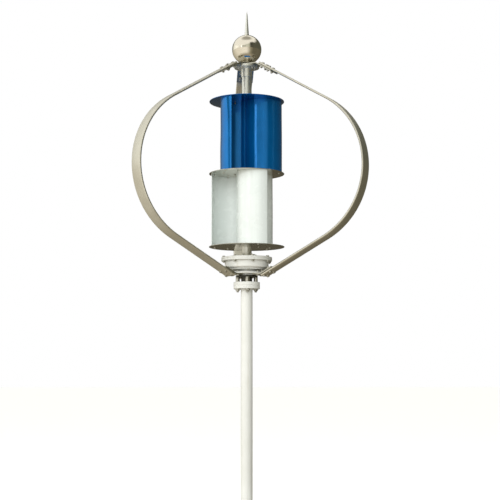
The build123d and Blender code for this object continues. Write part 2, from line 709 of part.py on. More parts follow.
def bracket_blank(upper):
    """Bent plate: a flat tab on the hub, then a run along the blade's inner face."""
    sign = 1 if upper else -1
    slope = math.radians(UPPER_SLOPE if upper else LOWER_SLOPE)
    lift = BLADE_T / 2 / math.cos(slope)
    thick = BRACKET_T / math.cos(slope)
    face_z = UPPER_TAB_TOP if upper else BLADE_FLANGE_Z - BRACKET_T
    back_z = HUB_PLATE_TOP if upper else BLADE_FLANGE_Z
    tab_rho = UPPER_TAB_RHO if upper else LOWER_TAB_RHO
    near = run_z(100.0, upper) - sign * lift

    def rho_at(z, offset):
        return 100.0 - sign * (z - near + sign * offset) / math.tan(slope)

    end_face_z = near - sign * (BRACKET_END_RHO - 100.0) * math.tan(slope)
    outline = Polyline(
        (tab_rho, face_z), (rho_at(face_z, 0), face_z), (BRACKET_END_RHO, end_face_z),
        (BRACKET_END_RHO - BRACKET_T * math.sin(slope), end_face_z - sign * BRACKET_T * math.cos(slope)),
        (rho_at(back_z, thick), back_z), (tab_rho, back_z), close=True)
    plate = extrude(Plane.XZ * make_face(outline), BRACKET_WIDTH / 2, both=True)
    for place in blade_bolt_places(upper):
        plate -= place * cyl(M8_R + HOLE_PLAY, -30, 2)
    bolts = UPPER_TAB_BOLTS if upper else LOWER_TAB_BOLTS
    hole_r = (M6_R if upper else M8_R) + HOLE_PLAY
    for y in (-bolts["spread"], bolts["spread"]):
        plate -= Pos(bolts["rho"], y, min(face_z, back_z)) * cyl(hole_r, -1, BRACKET_T + 1)
    return plate


def blade_bolts():
    solids = []
    for azimuth in BLADE_AZIMUTHS:
        for upper in (True, False):
            for place in blade_bolt_places(upper):
                solids += bolt_and_nut(Rot(0, 0, azimuth) * place, M8_R, BLADE_T + BRACKET_T)
    return solids


def bracket_bolts():
    """Bolts through the tabs: M6 down through the top hub, M8 up through the lower hub."""
    solids = []
    for place in tab_bolt_places(UPPER_TAB_BOLTS, UPPER_TAB_TOP):
        solids += bolt_and_nut(place, M6_R, HUB_PLATE_T + BRACKET_T)
    for place in tab_bolt_places(LOWER_TAB_BOLTS, BLADE_FLANGE_Z - BRACKET_T):
        solids += bolt_and_nut(place * Rot(180, 0, 0), M8_R, BLADE_FLANGE_T + BRACKET_T)
    return solids


# ---------------------------------------------------------------- top hub and finial, turning
def top_hub():
    """Round plate under the bracket tabs, with a boss between them that carries the ball."""
    hub = cyl(HUB_PLATE_R, HUB_PLATE_Z, HUB_PLATE_TOP)
    hub = fillet(hub.edges().filter_by(GeomType.CIRCLE), 1.2)
    hub += cyl(HUB_BOSS_R, HUB_PLATE_TOP - 1, BALL_FOOT_Z)
    hub += ring(SHAFT_R, HUB_SOCKET_R, HUB_PLATE_Z - HUB_SOCKET_H, HUB_PLATE_Z)
    hub -= cyl(FINIAL_BOLT_R + HOLE_PLAY, HUB_PLATE_Z - 1, BALL_FOOT_Z + 1)
    for place in tab_bolt_places(UPPER_TAB_BOLTS, HUB_PLATE_Z):
        hub -= place * cyl(M6_R + HOLE_PLAY, -1, HUB_PLATE_T + 1)
    return hub


def finial_bolt():
    """Long bolt from under the hub plate, up through the ball, into the needle."""
    head = hex_prism(FINIAL_BOLT_HEAD, HUB_PLATE_Z - 8, HUB_PLATE_Z)
    return head + cyl(FINIAL_BOLT_R, HUB_PLATE_Z - 1, BALL_TOP_Z + FINIAL_BOLT_REACH)


def finial_ball():
    ball = Pos(0, 0, BALL_Z) * Sphere(BALL_R) - Pos(0, 0, BALL_Z) * Sphere(BALL_R - BALL_WALL)
    ball -= cyl(FINIAL_BOLT_R + HOLE_PLAY, BALL_FOOT_Z - 5, BALL_TOP_Z + 5)
    return ball - cyl(30, BALL_FOOT_Z - 20, BALL_FOOT_Z)


def needle():
    seat = BALL_Z + math.sqrt(BALL_R ** 2 - (FINIAL_BOLT_R + HOLE_PLAY) ** 2) + 0.02
    collar = seat + NEEDLE_COLLAR_H
    spike = turned([(0, seat), (NEEDLE_R, seat), (NEEDLE_R, collar), (NEEDLE_R - 0.6, collar + 2),
                    (NEEDLE_POINT_R, NEEDLE_POINT_Z), (0.3, NEEDLE_TIP_Z), (0, NEEDLE_TIP_Z)])
    return spike - cyl(FINIAL_BOLT_R + PRESS_PLAY, seat - 1, BALL_TOP_Z + FINIAL_BOLT_REACH + 2)


# ---------------------------------------------------------------- write every node
os.makedirs("parts", exist_ok=True)

for name, maker in {
    "base_plate": base_plate, "base_gussets": base_gussets, "mast_tube": mast_tube,
    "mast_flange": mast_flange, "neck_flange": neck_flange, "neck_pillars": neck_pillars,
    "neck_studs": neck_studs, "spindle_base": spindle_base, "spindle": spindle,
    "spindle_nut": spindle_nut, "cable_grommet": cable_grommet, "stator_hub": stator_hub,
    "stator_disc": stator_disc, "stator_coils": stator_coils, "stator_screws": stator_screws,
    "lower_case": lower_case, "upper_cover": upper_cover, "rim_bolts": rim_bolts,
    "back_irons": back_irons, "magnets": magnets, "lower_hub": lower_hub, "case_screws": case_screws,
    "lower_seal": lower_seal, "shaft_flange": shaft_flange, "rotor_shaft": rotor_shaft,
    "bucket_screws": bucket_screws, "sleeve_screws": sleeve_screws, "rivets": rivets,
    "blade_bolts": blade_bolts, "bracket_bolts": bracket_bolts, "top_hub": top_hub,
    "finial_bolt": finial_bolt, "finial_ball": finial_ball, "needle": needle,
}.items():
    write(name, maker())

for level, bearing in (("lower", LOWER_BEARING), ("upper", UPPER_BEARING)):
    write(f"{level}_bearing_inner", inner_ring(bearing))
    write(f"{level}_bearing_outer", outer_ring(bearing))
    write(f"{level}_bearing_balls", balls_and_cage(bearing))

write("bottom_disc", disc(BOTTOM_DISC_Z, LOWER_TIPS))
write("middle_disc", disc(MIDDLE_DISC_Z, LOWER_TIPS + UPPER_TIPS))
write("top_disc", disc(TOP_DISC_Z, UPPER_TIPS))

for level, floor, tips in (("lower", STAGE_FLOORS[0], LOWER_TIPS), ("upper", STAGE_FLOORS[1], UPPER_TIPS)):
    write(f"{level}_sleeve", sleeve(floor, tips))
    for number, tip in enumerate(tips, 1):
        write(f"{level}_bucket_{number}", bucket(tip, floor))

blade = blade_blank()
brackets = {"upper": bracket_blank(True), "lower": bracket_blank(False)}
for number, azimuth in enumerate(BLADE_AZIMUTHS, 1):
    write(f"blade_{number}", Rot(0, 0, azimuth) * blade)
    for level, bracket in brackets.items():
        write(f"{level}_bracket_{number}", Rot(0, 0, azimuth) * bracket)
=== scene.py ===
"""Looks of the small wind turbine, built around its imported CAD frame. Metres, +Z up."""

import json
import math

import bmesh
import bpy
from mathutils import Matrix, Vector, noise

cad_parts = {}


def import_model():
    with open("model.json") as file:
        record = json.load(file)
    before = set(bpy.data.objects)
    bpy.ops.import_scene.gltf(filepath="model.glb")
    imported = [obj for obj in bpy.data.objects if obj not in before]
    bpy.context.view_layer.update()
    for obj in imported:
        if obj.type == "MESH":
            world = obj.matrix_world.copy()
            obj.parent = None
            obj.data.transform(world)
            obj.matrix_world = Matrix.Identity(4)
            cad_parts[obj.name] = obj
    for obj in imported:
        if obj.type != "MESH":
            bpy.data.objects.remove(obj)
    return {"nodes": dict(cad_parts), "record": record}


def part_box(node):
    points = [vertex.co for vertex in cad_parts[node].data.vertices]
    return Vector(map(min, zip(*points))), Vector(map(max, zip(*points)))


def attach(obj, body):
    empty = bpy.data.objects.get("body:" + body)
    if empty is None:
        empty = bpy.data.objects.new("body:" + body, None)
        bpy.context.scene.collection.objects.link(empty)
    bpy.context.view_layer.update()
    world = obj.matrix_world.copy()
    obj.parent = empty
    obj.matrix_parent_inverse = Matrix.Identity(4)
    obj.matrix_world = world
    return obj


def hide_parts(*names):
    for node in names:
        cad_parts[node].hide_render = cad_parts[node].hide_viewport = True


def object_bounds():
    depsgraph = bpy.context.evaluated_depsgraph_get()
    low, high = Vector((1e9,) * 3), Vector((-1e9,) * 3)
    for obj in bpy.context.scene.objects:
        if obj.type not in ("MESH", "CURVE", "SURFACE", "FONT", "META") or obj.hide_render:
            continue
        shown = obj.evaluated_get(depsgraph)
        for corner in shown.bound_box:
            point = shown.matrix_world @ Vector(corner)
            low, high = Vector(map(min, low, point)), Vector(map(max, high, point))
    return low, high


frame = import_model()
cad_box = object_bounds()
nodes = frame["nodes"]

MM = 0.001
UP = Vector((0, 0, 1))

# Sizes that the boxes of the CAD nodes don't give
BLADE_AZIMUTHS = (90, 210, 330)
BLADE_CHORD = 80 * MM
BLADE_T = 11 * MM
BLADE_ARC_R = 385 * MM
BLADE_ARC_RHO = 235 * MM
BLADE_ARC_Z = 1.6985
SLOPE = {"upper": math.radians(30.7), "lower": math.radians(28.0)}
SIGN = {"upper": 1, "lower": -1}
BLADE_END_RHO = {"upper": 84 * MM, "lower": 94 * MM}
BLADE_BOLT_RHOS = {"upper": (98 * MM, 132 * MM), "lower": (102 * MM, 134 * MM)}
BLADE_BOLT_SPREAD = 23 * MM
BRACKET_T = 6 * MM
HUB_PLATE_T = 12 * MM
HUB_BOSS_H = 12 * MM
HUB_BOSS_R = 26 * MM
BLADE_FLANGE_T = 7 * MM
HUB_TOP_FLANGE_T = 7 * MM
SHAFT_FLANGE_T = 8 * MM
CASE_RIM_T = 9.5 * MM
MAST_WALL = 3.5 * MM
FINIAL_HOLE_R = 6.2 * MM
BRACKET_WIDTH = 82 * MM
BRACKET_END_RHO = 150 * MM
TAB_RHO = {"upper": 29 * MM, "lower": 48 * MM}
TAB_BOLT_RHO = {"upper": 37 * MM, "lower": 68 * MM}
TAB_BOLT_SPREAD = {"upper": 15 * MM, "lower": 22 * MM}
BUCKET_R = 93 * MM
BUCKET_OFFSET = 80 * MM
SHEET_T = 1.5 * MM
BUCKET_TIPS = {"lower": (60, 180, 300), "upper": (0, 120, 240)}
BUCKET_FLANGE_END = 213
TAB_ANGLES = (-28, -85, -138)
TAB_HALF_ANGLE = 7
TAB_DEPTH = 17 * MM
TAB_SCREW_INSET = 9 * MM
RIVET_COUNT = 6
RIVET_MARGIN = 30 * MM
RIM_BOLT_COUNT = 8
RIM_BOLT_RING_R = 116 * MM
RIM_BOLT_FIRST = 11.25
PILLAR_RING_R = 44 * MM
CASE_SCREW_RING_R = 43 * MM
M8, M6, M5, M12 = 4 * MM, 3 * MM, 2.5 * MM, 6 * MM

# Camera
CAMERA_AZIMUTH = math.radians(-4.3)
CAMERA_DISTANCE = 6.039
CAMERA_HEIGHT = 0.697
CAMERA_PITCH = math.radians(5.85)
CAMERA_YAW = math.radians(-0.152)
CAMERA_LENS = 89.3


# ---------------------------------------------------------------- materials
class Shader:
    """One material's node tree, with short calls for the nodes that repeat."""

    def __init__(self, name, **settings):
        self.material = bpy.data.materials.new(name)
        self.material.use_nodes = True
        self.tree = self.material.node_tree
        self.bsdf = self.tree.nodes["Principled BSDF"]
        for key, value in settings.items():
            self.bsdf.inputs[key.replace("_", " ").title()].default_value = value

    def node(self, kind, **settings):
        made = self.tree.nodes.new(kind)
        for key, value in settings.items():
            setattr(made, key, value)
        return made

    def link(self, source, target):
        self.tree.links.new(source, target)

    def coords(self, scale=(1, 1, 1), azimuth=0.0):
        """Object coordinates, turned about Z by -azimuth degrees and then scaled."""
        source = self.node("ShaderNodeTexCoord").outputs["Object"]
        turn = self.node("ShaderNodeMapping")
        turn.inputs["Rotation"].default_value = (0, 0, -math.radians(azimuth))
        self.link(source, turn.inputs["Vector"])
        stretch = self.node("ShaderNodeMapping")
        stretch.inputs["Scale"].default_value = scale
        self.link(turn.outputs["Vector"], stretch.inputs["Vector"])
        return stretch.outputs["Vector"]

    def radial(self):
        """Distance from the turbine's axis."""
        flat = self.coords(scale=(1, 1, 0))
        length = self.node("ShaderNodeVectorMath", operation="LENGTH")
        self.link(flat, length.inputs[0])
        return length.outputs["Value"]

    def noise(self, vector, scale, detail=3.0, roughness=0.5, one_d=False):
        made = self.node("ShaderNodeTexNoise")
        if one_d:
            made.noise_dimensions = "1D"
            self.link(vector, made.inputs["W"])
        else:
            self.link(vector, made.inputs["Vector"])
        made.inputs["Scale"].default_value = scale
        made.inputs["Detail"].default_value = detail
        made.inputs["Roughness"].default_value = roughness
        return made.outputs["Fac"]

    def ramp(self, value, *stops):
        """Colour ramp; each stop is (position, grey or colour)."""
        made = self.node("ShaderNodeValToRGB")
        elements = made.color_ramp.elements
        while len(elements) < len(stops):
            elements.new(0.5)
        for element, (position, colour) in zip(elements, stops):
            grey = isinstance(colour, (int, float))
            element.position = position
            element.color = (colour, colour, colour, 1) if grey else (*colour, 1)
        self.link(value, made.inputs["Fac"])
        return made.outputs["Color"]

    def mix(self, factor, first, second):
        """Mix of two colours, each a socket or a colour."""
        made = self.node("ShaderNodeMix", data_type="RGBA")
        self.link(factor, made.inputs["Factor"])
        for name, value in (("A", first), ("B", second)):
            socket = [s for s in made.inputs if s.name == name and s.type == "RGBA"][0]
            if isinstance(value, tuple):
                socket.default_value = (*value, 1)
            else:
                self.link(value, socket)
        return [s for s in made.outputs if s.type == "RGBA"][0]

    def bump(self, height, strength, distance, below=None):
        made = self.node("ShaderNodeBump")
        made.inputs["Strength"].default_value = strength
        made.inputs["Distance"].default_value = distance
        self.link(height, made.inputs["Height"])
        if below is not None:
            self.link(below, made.inputs["Normal"])
        return made.outputs["Normal"]

    def paint(self, colour):
        self.link(colour, self.bsdf.inputs["Base Color"])

    def rough(self, value):
        self.link(value, self.bsdf.inputs["Roughness"])

    def normal(self, value):
        self.link(value, self.bsdf.inputs["Normal"])


def painted(name, main, shade, dust, rough, peel, coat, metal=0.0):
    """Sprayed or powder-coated paint: orange peel, uneven gloss, and faint dust that runs downwards."""
    s = Shader(name, metallic=metal, coat_weight=coat, coat_roughness=0.04)
    broad = s.noise(s.coords(), 9.0, 4.0)
    tone = s.mix(s.ramp(broad, (0.35, 0.0), (0.7, 1.0)), main, shade)
    runs = s.noise(s.coords(scale=(60, 60, 2.2)), 1.0, 5.0, 0.65)
    s.paint(s.mix(s.ramp(runs, (0.56, 0.0), (0.8, 0.55)), tone, dust))
    s.rough(s.ramp(s.noise(s.coords(), 26.0, 5.0), (0.3, rough), (0.75, rough + 0.16)))
    s.normal(s.bump(s.noise(s.coords(), 420.0, 2.0), peel, 0.0004))
    return s.material


def brushed(name, light, dark, rough, stretch, azimuth=0.0, bump=0.12, tint=None):
    """Brushed or extruded metal: fine lines along one direction, broad tarnish and small specks."""
    s = Shader(name, metallic=1.0)
    lines = s.noise(s.coords(scale=stretch, azimuth=azimuth), 1.0, 4.0, 0.7)
    tarnish = s.noise(s.coords(), 7.0, 5.0, 0.6)
    colour = s.mix(s.ramp(lines, (0.3, 0.0), (0.7, 1.0)), dark, light)
    colour = s.mix(s.ramp(tarnish, (0.45, 0.0), (0.75, 0.6)), colour, tint or dark)
    s.paint(colour)
    s.rough(s.mix(s.ramp(tarnish, (0.35, 0.0), (0.7, 1.0)),
                  s.ramp(lines, (0.3, rough), (0.75, rough + 0.10)),
                  s.ramp(lines, (0.3, rough + 0.06), (0.75, rough + 0.2))))
    s.normal(s.bump(lines, bump, 0.0003))
    return s.material


def turned_sheet(name, light, dark, rough):
    """Polished sheet disc with faint rings about the axis, smudges and slight waves."""
    s = Shader(name, metallic=1.0)
    rings = s.noise(s.radial(), 900.0, 3.0, 0.7, one_d=True)
    smudge = s.noise(s.coords(), 14.0, 6.0, 0.65)
    s.paint(s.mix(s.ramp(smudge, (0.35, 0.0), (0.75, 0.8)), light, dark))
    s.rough(s.ramp(smudge, (0.3, rough), (0.8, rough + 0.16)))
    waves = s.bump(s.noise(s.coords(), 11.0, 1.0), 0.25, 0.004)
    s.normal(s.bump(rings, 0.05, 0.0002, below=waves))
    return s.material


def mirror(name):
    """Mirror-polished hollow ball: fine wiping marks and a few dull spots."""
    s = Shader(name, metallic=1.0)
    wipe = s.noise(s.coords(scale=(1, 1, 7)), 38.0, 5.0, 0.7)
    spots = s.noise(s.coords(), 60.0, 4.0, 0.6)
    s.paint(s.mix(s.ramp(wipe, (0.4, 0.0), (0.75, 0.5)), (0.86, 0.80, 0.68), (0.66, 0.60, 0.49)))
    s.rough(s.ramp(spots, (0.45, 0.10), (0.8, 0.2)))
    s.normal(s.bump(wipe, 0.03, 0.0003))
    return s.material


def plated(name, light, dark, rough):
    """Plated fasteners: mottled zinc with dull patches."""
    s = Shader(name, metallic=1.0)
    mottle = s.noise(s.coords(), 260.0, 4.0, 0.6)
    s.paint(s.mix(s.ramp(mottle, (0.35, 0.0), (0.7, 1.0)), light, dark))
    s.rough(s.ramp(mottle, (0.3, rough), (0.75, rough + 0.22)))
    s.normal(s.bump(mottle, 0.15, 0.0002))
    return s.material


def moulded(name, main, shade, rough, grain):
    """Cast resin or rubber: fine grain, uneven sheen."""
    s = Shader(name, metallic=0.0)
    mottle = s.noise(s.coords(), 40.0, 5.0)
    s.paint(s.mix(s.ramp(mottle, (0.3, 0.0), (0.7, 1.0)), main, shade))
    s.rough(s.ramp(mottle, (0.3, rough), (0.75, rough + 0.15)))
    s.normal(s.bump(s.noise(s.coords(), 700.0, 2.0), grain, 0.0003))
    return s.material


LENGTHWISE = (2, 900, 2)
AROUND = (3, 3, 900)
materials = {
    "white_paint": painted("powder_white", (0.79, 0.80, 0.78), (0.74, 0.75, 0.72), (0.60, 0.57, 0.48),
                           0.28, 0.18, 0.35),
    "blue_paint": painted("gloss_blue", (0.0, 0.170, 0.520), (0.0, 0.145, 0.450), (0.002, 0.19, 0.54),
                          0.06, 0.02, 0.15, metal=0.60),
    "stage_white": painted("stage_white", (0.80, 0.86, 0.85), (0.77, 0.83, 0.82), (0.68, 0.71, 0.68),
                           0.18, 0.05, 0.8),
    "satin_metal": turned_sheet("polished_disc", (0.66, 0.65, 0.58), (0.50, 0.48, 0.41), 0.10),
    "shaft_steel": brushed("shaft_steel", (0.95, 0.95, 0.90), (0.84, 0.84, 0.78), 0.34, AROUND),
    "bracket_steel": brushed("bracket_steel", (0.64, 0.63, 0.56), (0.46, 0.45, 0.38), 0.30, (160, 160, 160)),
    "polished_steel": mirror("mirror_steel"),
    "zinc_fasteners": plated("zinc", (0.74, 0.73, 0.68), (0.50, 0.49, 0.44), 0.24),
    "dark_steel": plated("dark_steel", (0.16, 0.16, 0.14), (0.07, 0.07, 0.06), 0.42),
    "bearing_steel": brushed("bearing_steel", (0.72, 0.72, 0.72), (0.55, 0.55, 0.55), 0.12, AROUND,
                             bump=0.03),
    "copper": brushed("copper_wire", (0.80, 0.40, 0.22), (0.55, 0.24, 0.12), 0.25, (3, 3, 1500), bump=0.6),
    "nickel": plated("nickel", (0.74, 0.72, 0.66), (0.60, 0.58, 0.52), 0.16),
    "resin": moulded("resin", (0.05, 0.11, 0.07), (0.03, 0.07, 0.05), 0.22, 0.1),
    "stator_aluminium": brushed("stator_aluminium", (0.74, 0.74, 0.72), (0.6, 0.6, 0.58), 0.3, AROUND),
    "black_rubber": moulded("black_rubber", (0.022, 0.022, 0.022), (0.035, 0.034, 0.032), 0.62, 0.3),
}
blade_materials = {
    azimuth: brushed(f"blade_aluminium_{azimuth}", (0.88, 0.85, 0.76), (0.76, 0.73, 0.63), 0.36, LENGTHWISE,
                     azimuth, bump=0.04, tint=(0.62, 0.59, 0.49))
    for azimuth in BLADE_AZIMUTHS
}
slot_of = {part["node"]: part["material_slot"] for part in frame["record"]["subparts"]}
for node_name, cad_object in nodes.items():
    cad_object.data.materials.clear()
    cad_object.data.materials.append(materials.get(slot_of[node_name], materials["zinc_fasteners"]))


# ---------------------------------------------------------------- mesh helpers
def span(node):
    """Lowest and highest Z of a CAD node."""
    low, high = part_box(node)
    return low.z, high.z


def radius(node):
    """Outer radius of a CAD node that is round about the axis."""
    low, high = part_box(node)
    return (high.x - low.x) / 2


def finished(name, bm, node, material=None, smooth_angle=32, bevel=0.0):
    """Turn a bmesh into a piece on a CAD node's body, with the material of that node's slot unless one is
    given.
    """
    bmesh.ops.recalc_face_normals(bm, faces=bm.faces)
    mesh = bpy.data.meshes.new(name)
    bm.to_mesh(mesh)
    bm.free()
    mesh.shade_smooth()
    mesh.set_sharp_from_angle(angle=math.radians(smooth_angle))
    mesh.materials.append(material or materials[slot_of[node]])
    piece = bpy.data.objects.new(name, mesh)
    bpy.context.scene.collection.objects.link(piece)
    if bevel:
        edge = piece.modifiers.new("edge", "BEVEL")
        edge.width = bevel
        edge.segments = 2
        edge.limit_method = "ANGLE"
        edge.angle_limit = math.radians(40)
    body = next(b for b, members in frame["record"]["behaviour"]["bodies"].items() if node in members)
    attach(piece, body)
    return piece


def rounded(points, radii, steps=5):
    """Closed outline with each corner rounded by its radius, zero for a sharp one."""
    outline = []
    count = len(points)
    for i, (corner, r) in enumerate(zip(points, radii)):
        here = Vector(corner)
        back = (Vector(points[i - 1]) - here).normalized()
        ahead = (Vector(points[(i + 1) % count]) - here).normalized()
        half = back.angle(ahead) / 2
        if r <= 0 or half > math.radians(89):
            outline.append(here)
            continue
        reach = r / math.tan(half)
        centre = here + (back + ahead).normalized() * (r / math.sin(half))
        start = here + back * reach - centre
        turn = start.angle_signed(here + ahead * reach - centre)
        for k in range(steps + 1):
            outline.append(centre + Matrix.Rotation(-turn * k / steps, 2) @ start)
    return outline


def lathe(bm, outline, segments=96, matrix=Matrix.Identity(4)):
    """Closed solid of revolution about Z from a closed (radius, z) outline."""
    rings = []
    for k in range(segments):
        angle = 2 * math.pi * k / segments
        c, s = math.cos(angle), math.sin(angle)
        rings.append([bm.verts.new(matrix @ Vector((p[0] * c, p[0] * s, p[1]))) for p in outline])
    count = len(outline)
    for k in range(segments):
        near, far = rings[k], rings[(k + 1) % segments]
        for i in range(count):
            j = (i + 1) % count
            bm.faces.new((near[i], near[j], far[j], far[i]))
    on_axis = [v for ring in rings for v, p in zip(ring, outline) if p[0] < 1e-6]
    if on_axis:
        bmesh.ops.remove_doubles(bm, verts=on_axis, dist=1e-6)


def turned(name, node, points, radii, segments=96, material=None):
    """A lathe piece that replaces a CAD node."""
    bm = bmesh.new()
    lathe(bm, rounded(points, radii), segments)
    piece = finished(name, bm, node, material)
    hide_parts(node)
    return piece


def tube(name, node, inner, edge=0.5 * MM, segments=96):
    """A ring-shaped CAD node remade with eased edges."""
    low, high = span(node)
    outer = radius(node)
    return turned(name, node, [(inner, low), (outer, low), (outer, high), (inner, high)],
                  [0, edge, edge, 0], segments)


def prism(bm, outline, low, high, matrix):
    """Upright prism through a list of (x, y) points."""
    bottom = [bm.verts.new(matrix @ Vector((x, y, low))) for x, y in outline]
    top = [bm.verts.new(matrix @ Vector((x, y, high))) for x, y in outline]
    count = len(outline)
    for i in range(count):
        j = (i + 1) % count
        bm.faces.new((bottom[i], bottom[j], top[j], top[i]))
    bm.faces.new(top)
    bm.faces.new(list(reversed(bottom)))


def hexagon(flats, z_scale_pairs, bm, matrix):
    """Stack of hexagonal rings through (z, scale) pairs, closed at both ends."""
    rings = []
    corner = flats / math.sqrt(3)
    for z, scale in z_scale_pairs:
        ring = []
        for k in range(6):
            a = math.radians(60 * k + 30)
            ring.append(bm.verts.new(matrix @ Vector((corner * scale * math.cos(a),
                                                      corner * scale * math.sin(a), z))))
        rings.append(ring)
    for near, far in zip(rings, rings[1:]):
        for i in range(6):
            j = (i + 1) % 6
            bm.faces.new((near[i], near[j], far[j], far[i]))
    bm.faces.new(rings[-1])
    bm.faces.new(list(reversed(rings[0])))


def round_bar(bm, matrix, rings, segments=20):
    """Closed round bar on local Z through (radius, z) rings."""
    outline = [(0, rings[0][1]), *rings, (0, rings[-1][1])]
    lathe(bm, [Vector(p) for p in outline], segments, matrix)


def thread(bm, matrix, r, low, high):
    """Threaded shank, as rings of crest and root."""
    pitch = 0.3 * r
    turns = max(2, int((high - low) / pitch))
    step = (high - low) / turns
    rings = [(r * 0.86, low)]
    for k in range(turns):
        rings += [(r, low + step * (k + 0.35)), (r, low + step * (k + 0.55)),
                  (r * 0.87, low + step * (k + 0.95))]
    round_bar(bm, matrix, rings, 18)


def washer(bm, matrix, r, low, high):
    ease = 0.2 * MM
    round_bar(bm, matrix, [(r - ease, low), (r, low + ease), (r, high - ease), (r - ease, high)], 28)


def bolt(bm, matrix, r, grip, tail=3 * MM):
    """Hex bolt, washers and nut: local z = 0 under the head, the grip below it."""
    plate = 0.35 * r
    head = 1.3 * r
    washer(bm, matrix, 2.05 * r, 0, 0.3 * r)
    hexagon(3.25 * r, ((0.3 * r, 0.97), (0.34 * r, 1.0), (head * 0.9, 1.0), (head, 0.87)), bm, matrix)
    washer(bm, matrix, 2.05 * r, -grip - 0.3 * r, -grip)
    bottom = -grip - 1.6 * r
    hexagon(3.25 * r, ((bottom, 0.87), (bottom * 0.995 + 0.1 * r, 1.0), (-grip - plate, 1.0),
                       (-grip - 0.3 * r, 0.97)), bm, matrix)
    thread(bm, matrix, r * 0.96, bottom - tail, 0.1 * r)


def cap_screw(bm, matrix, r, length):
    """Socket-head screw with a round recess in its head."""
    head = 1.9 * r
    rim = 1.65 * r
    well = 0.95 * r
    outline = [(0, -length), (r * 0.9, -length), (r, -length + 0.3 * r), (r, 0), (rim, 0),
               (rim, head - 0.25 * r), (rim - 0.25 * r, head), (well, head), (well, 0.9 * r), (0, 0.9 * r)]
    lathe(bm, [Vector(p) for p in outline], 24, matrix)


def polar(r, angle, z=0.0):
    """Matrix of a place on a circle about the axis, turned to face outwards."""
    return Matrix.Rotation(math.radians(angle), 4, "Z") @ Matrix.Translation((r, 0, z))


FLIP = Matrix.Rotation(math.pi, 4, "X")
OUTWARD = Matrix.Rotation(math.pi / 2, 4, "Y")


def group(name, node, build, smooth_angle=32):
    """One piece for a group of fasteners: build(bm) adds them all."""
    bm = bmesh.new()
    build(bm)
    piece = finished(name, bm, node, smooth_angle=smooth_angle)
    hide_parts(node)
    return piece


# ---------------------------------------------------------------- Darrieus blades and brackets
def run_point(level, rho):
    """Point of a blade's mid-line on a straight run, as (rho, z)."""
    turn = math.pi / 2 - SLOPE[level]
    touch_rho = BLADE_ARC_RHO + BLADE_ARC_R * math.cos(turn)
    touch_z = BLADE_ARC_Z + SIGN[level] * BLADE_ARC_R * math.sin(turn)
    return Vector((rho, touch_z + SIGN[level] * (touch_rho - rho) * math.tan(SLOPE[level])))


def run_normal(level):
    """Outward normal of a straight run, in the (rho, z) plane."""
    return Vector((math.sin(SLOPE[level]), SIGN[level] * math.cos(SLOPE[level])))


def blade_stations(straight=8, arc=72):
    """(point, normal) pairs along a blade's mid-line, from its upper to its lower end."""
    stations = []
    limits = {level: math.pi / 2 - SLOPE[level] for level in SLOPE}
    touch = {level: BLADE_ARC_RHO + BLADE_ARC_R * math.cos(limits[level]) for level in SLOPE}
    for k in range(straight):
        rho = BLADE_END_RHO["upper"] + (touch["upper"] - BLADE_END_RHO["upper"]) * k / straight
        stations.append((run_point("upper", rho), run_normal("upper")))
    for k in range(arc + 1):
        angle = limits["upper"] - (limits["upper"] + limits["lower"]) * k / arc
        normal = Vector((math.cos(angle), math.sin(angle)))
        stations.append((Vector((BLADE_ARC_RHO, BLADE_ARC_Z)) + normal * BLADE_ARC_R, normal))
    for k in range(1, straight + 1):
        rho = touch["lower"] + (BLADE_END_RHO["lower"] - touch["lower"]) * k / straight
        stations.append((run_point("lower", rho), run_normal("lower")))
    return stations


def blade_section():
    """Closed outline (chord, thickness) of the extrusion: flat faces and round edges."""
    half = BLADE_CHORD / 2
    r = BLADE_T / 2
    outline = []
    for side in (1, -1):
        for k in range(9):
            angle = math.radians(-90 + 180 * k / 8)
            outline.append((side * (half - r + r * math.cos(angle)), side * r * math.sin(angle)))
    return outline


def blade(azimuth):
    turn = Matrix.Rotation(math.radians(azimuth), 4, "Z")
    section = blade_section()
    bm = bmesh.new()
    rings = []
    for point, normal in blade_stations():
        ring = []
        for u, v in section:
            place = Vector((point.x + normal.x * v, u, point.y + normal.y * v))
            ring.append(bm.verts.new(turn @ place))
        rings.append(ring)
    count = len(section)
    for near, far in zip(rings, rings[1:]):
        for i in range(count):
            j = (i + 1) % count
            bm.faces.new((near[i], near[j], far[j], far[i]))
    for ring, flip in ((rings[0], False), (rings[-1], True)):
        end = bm.faces.new(list(reversed(ring)) if flip else ring)
        bmesh.ops.inset_region(bm, faces=[end], thickness=1.8 * MM, depth=-2.5 * MM)
    return bm


def bracket_outline(level):
    """Bent plate in the (rho, z) plane, and the radii of its corners."""
    sign = SIGN[level]
    slope = SLOPE[level]
    low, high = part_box(f"{level}_bracket_1")
    face = high.z if level == "upper" else low.z
    back = face - sign * BRACKET_T
    lift = BLADE_T / 2 / math.cos(slope)
    thick = BRACKET_T / math.cos(slope)

    def rho_at(z, offset):
        near = run_point(level, 0.0).y - sign * lift
        return sign * (near - z - sign * offset) / math.tan(slope)

    end_z = run_point(level, BRACKET_END_RHO).y - sign * lift
    end_back = (BRACKET_END_RHO - BRACKET_T * math.sin(slope), end_z - sign * BRACKET_T * math.cos(slope))
    points = [(TAB_RHO[level], face), (rho_at(face, 0), face), (BRACKET_END_RHO, end_z), end_back,
              (rho_at(back, thick), back), (TAB_RHO[level], back)]
    return points, [0, 14 * MM, 0, 0, 8 * MM, 0]


def bracket(level, azimuth):
    turn = Matrix.Rotation(math.radians(azimuth), 4, "Z")
    outline = rounded(*bracket_outline(level), steps=6)
    bm = bmesh.new()
    half = BRACKET_WIDTH / 2
    near = [bm.verts.new(turn @ Vector((p[0], -half, p[1]))) for p in outline]
    far = [bm.verts.new(turn @ Vector((p[0], half, p[1]))) for p in outline]
    count = len(outline)
    for i in range(count):
        j = (i + 1) % count
        bm.faces.new((near[i], near[j], far[j], far[i]))
    bm.faces.new(near)
    bm.faces.new(list(reversed(far)))
    return bm


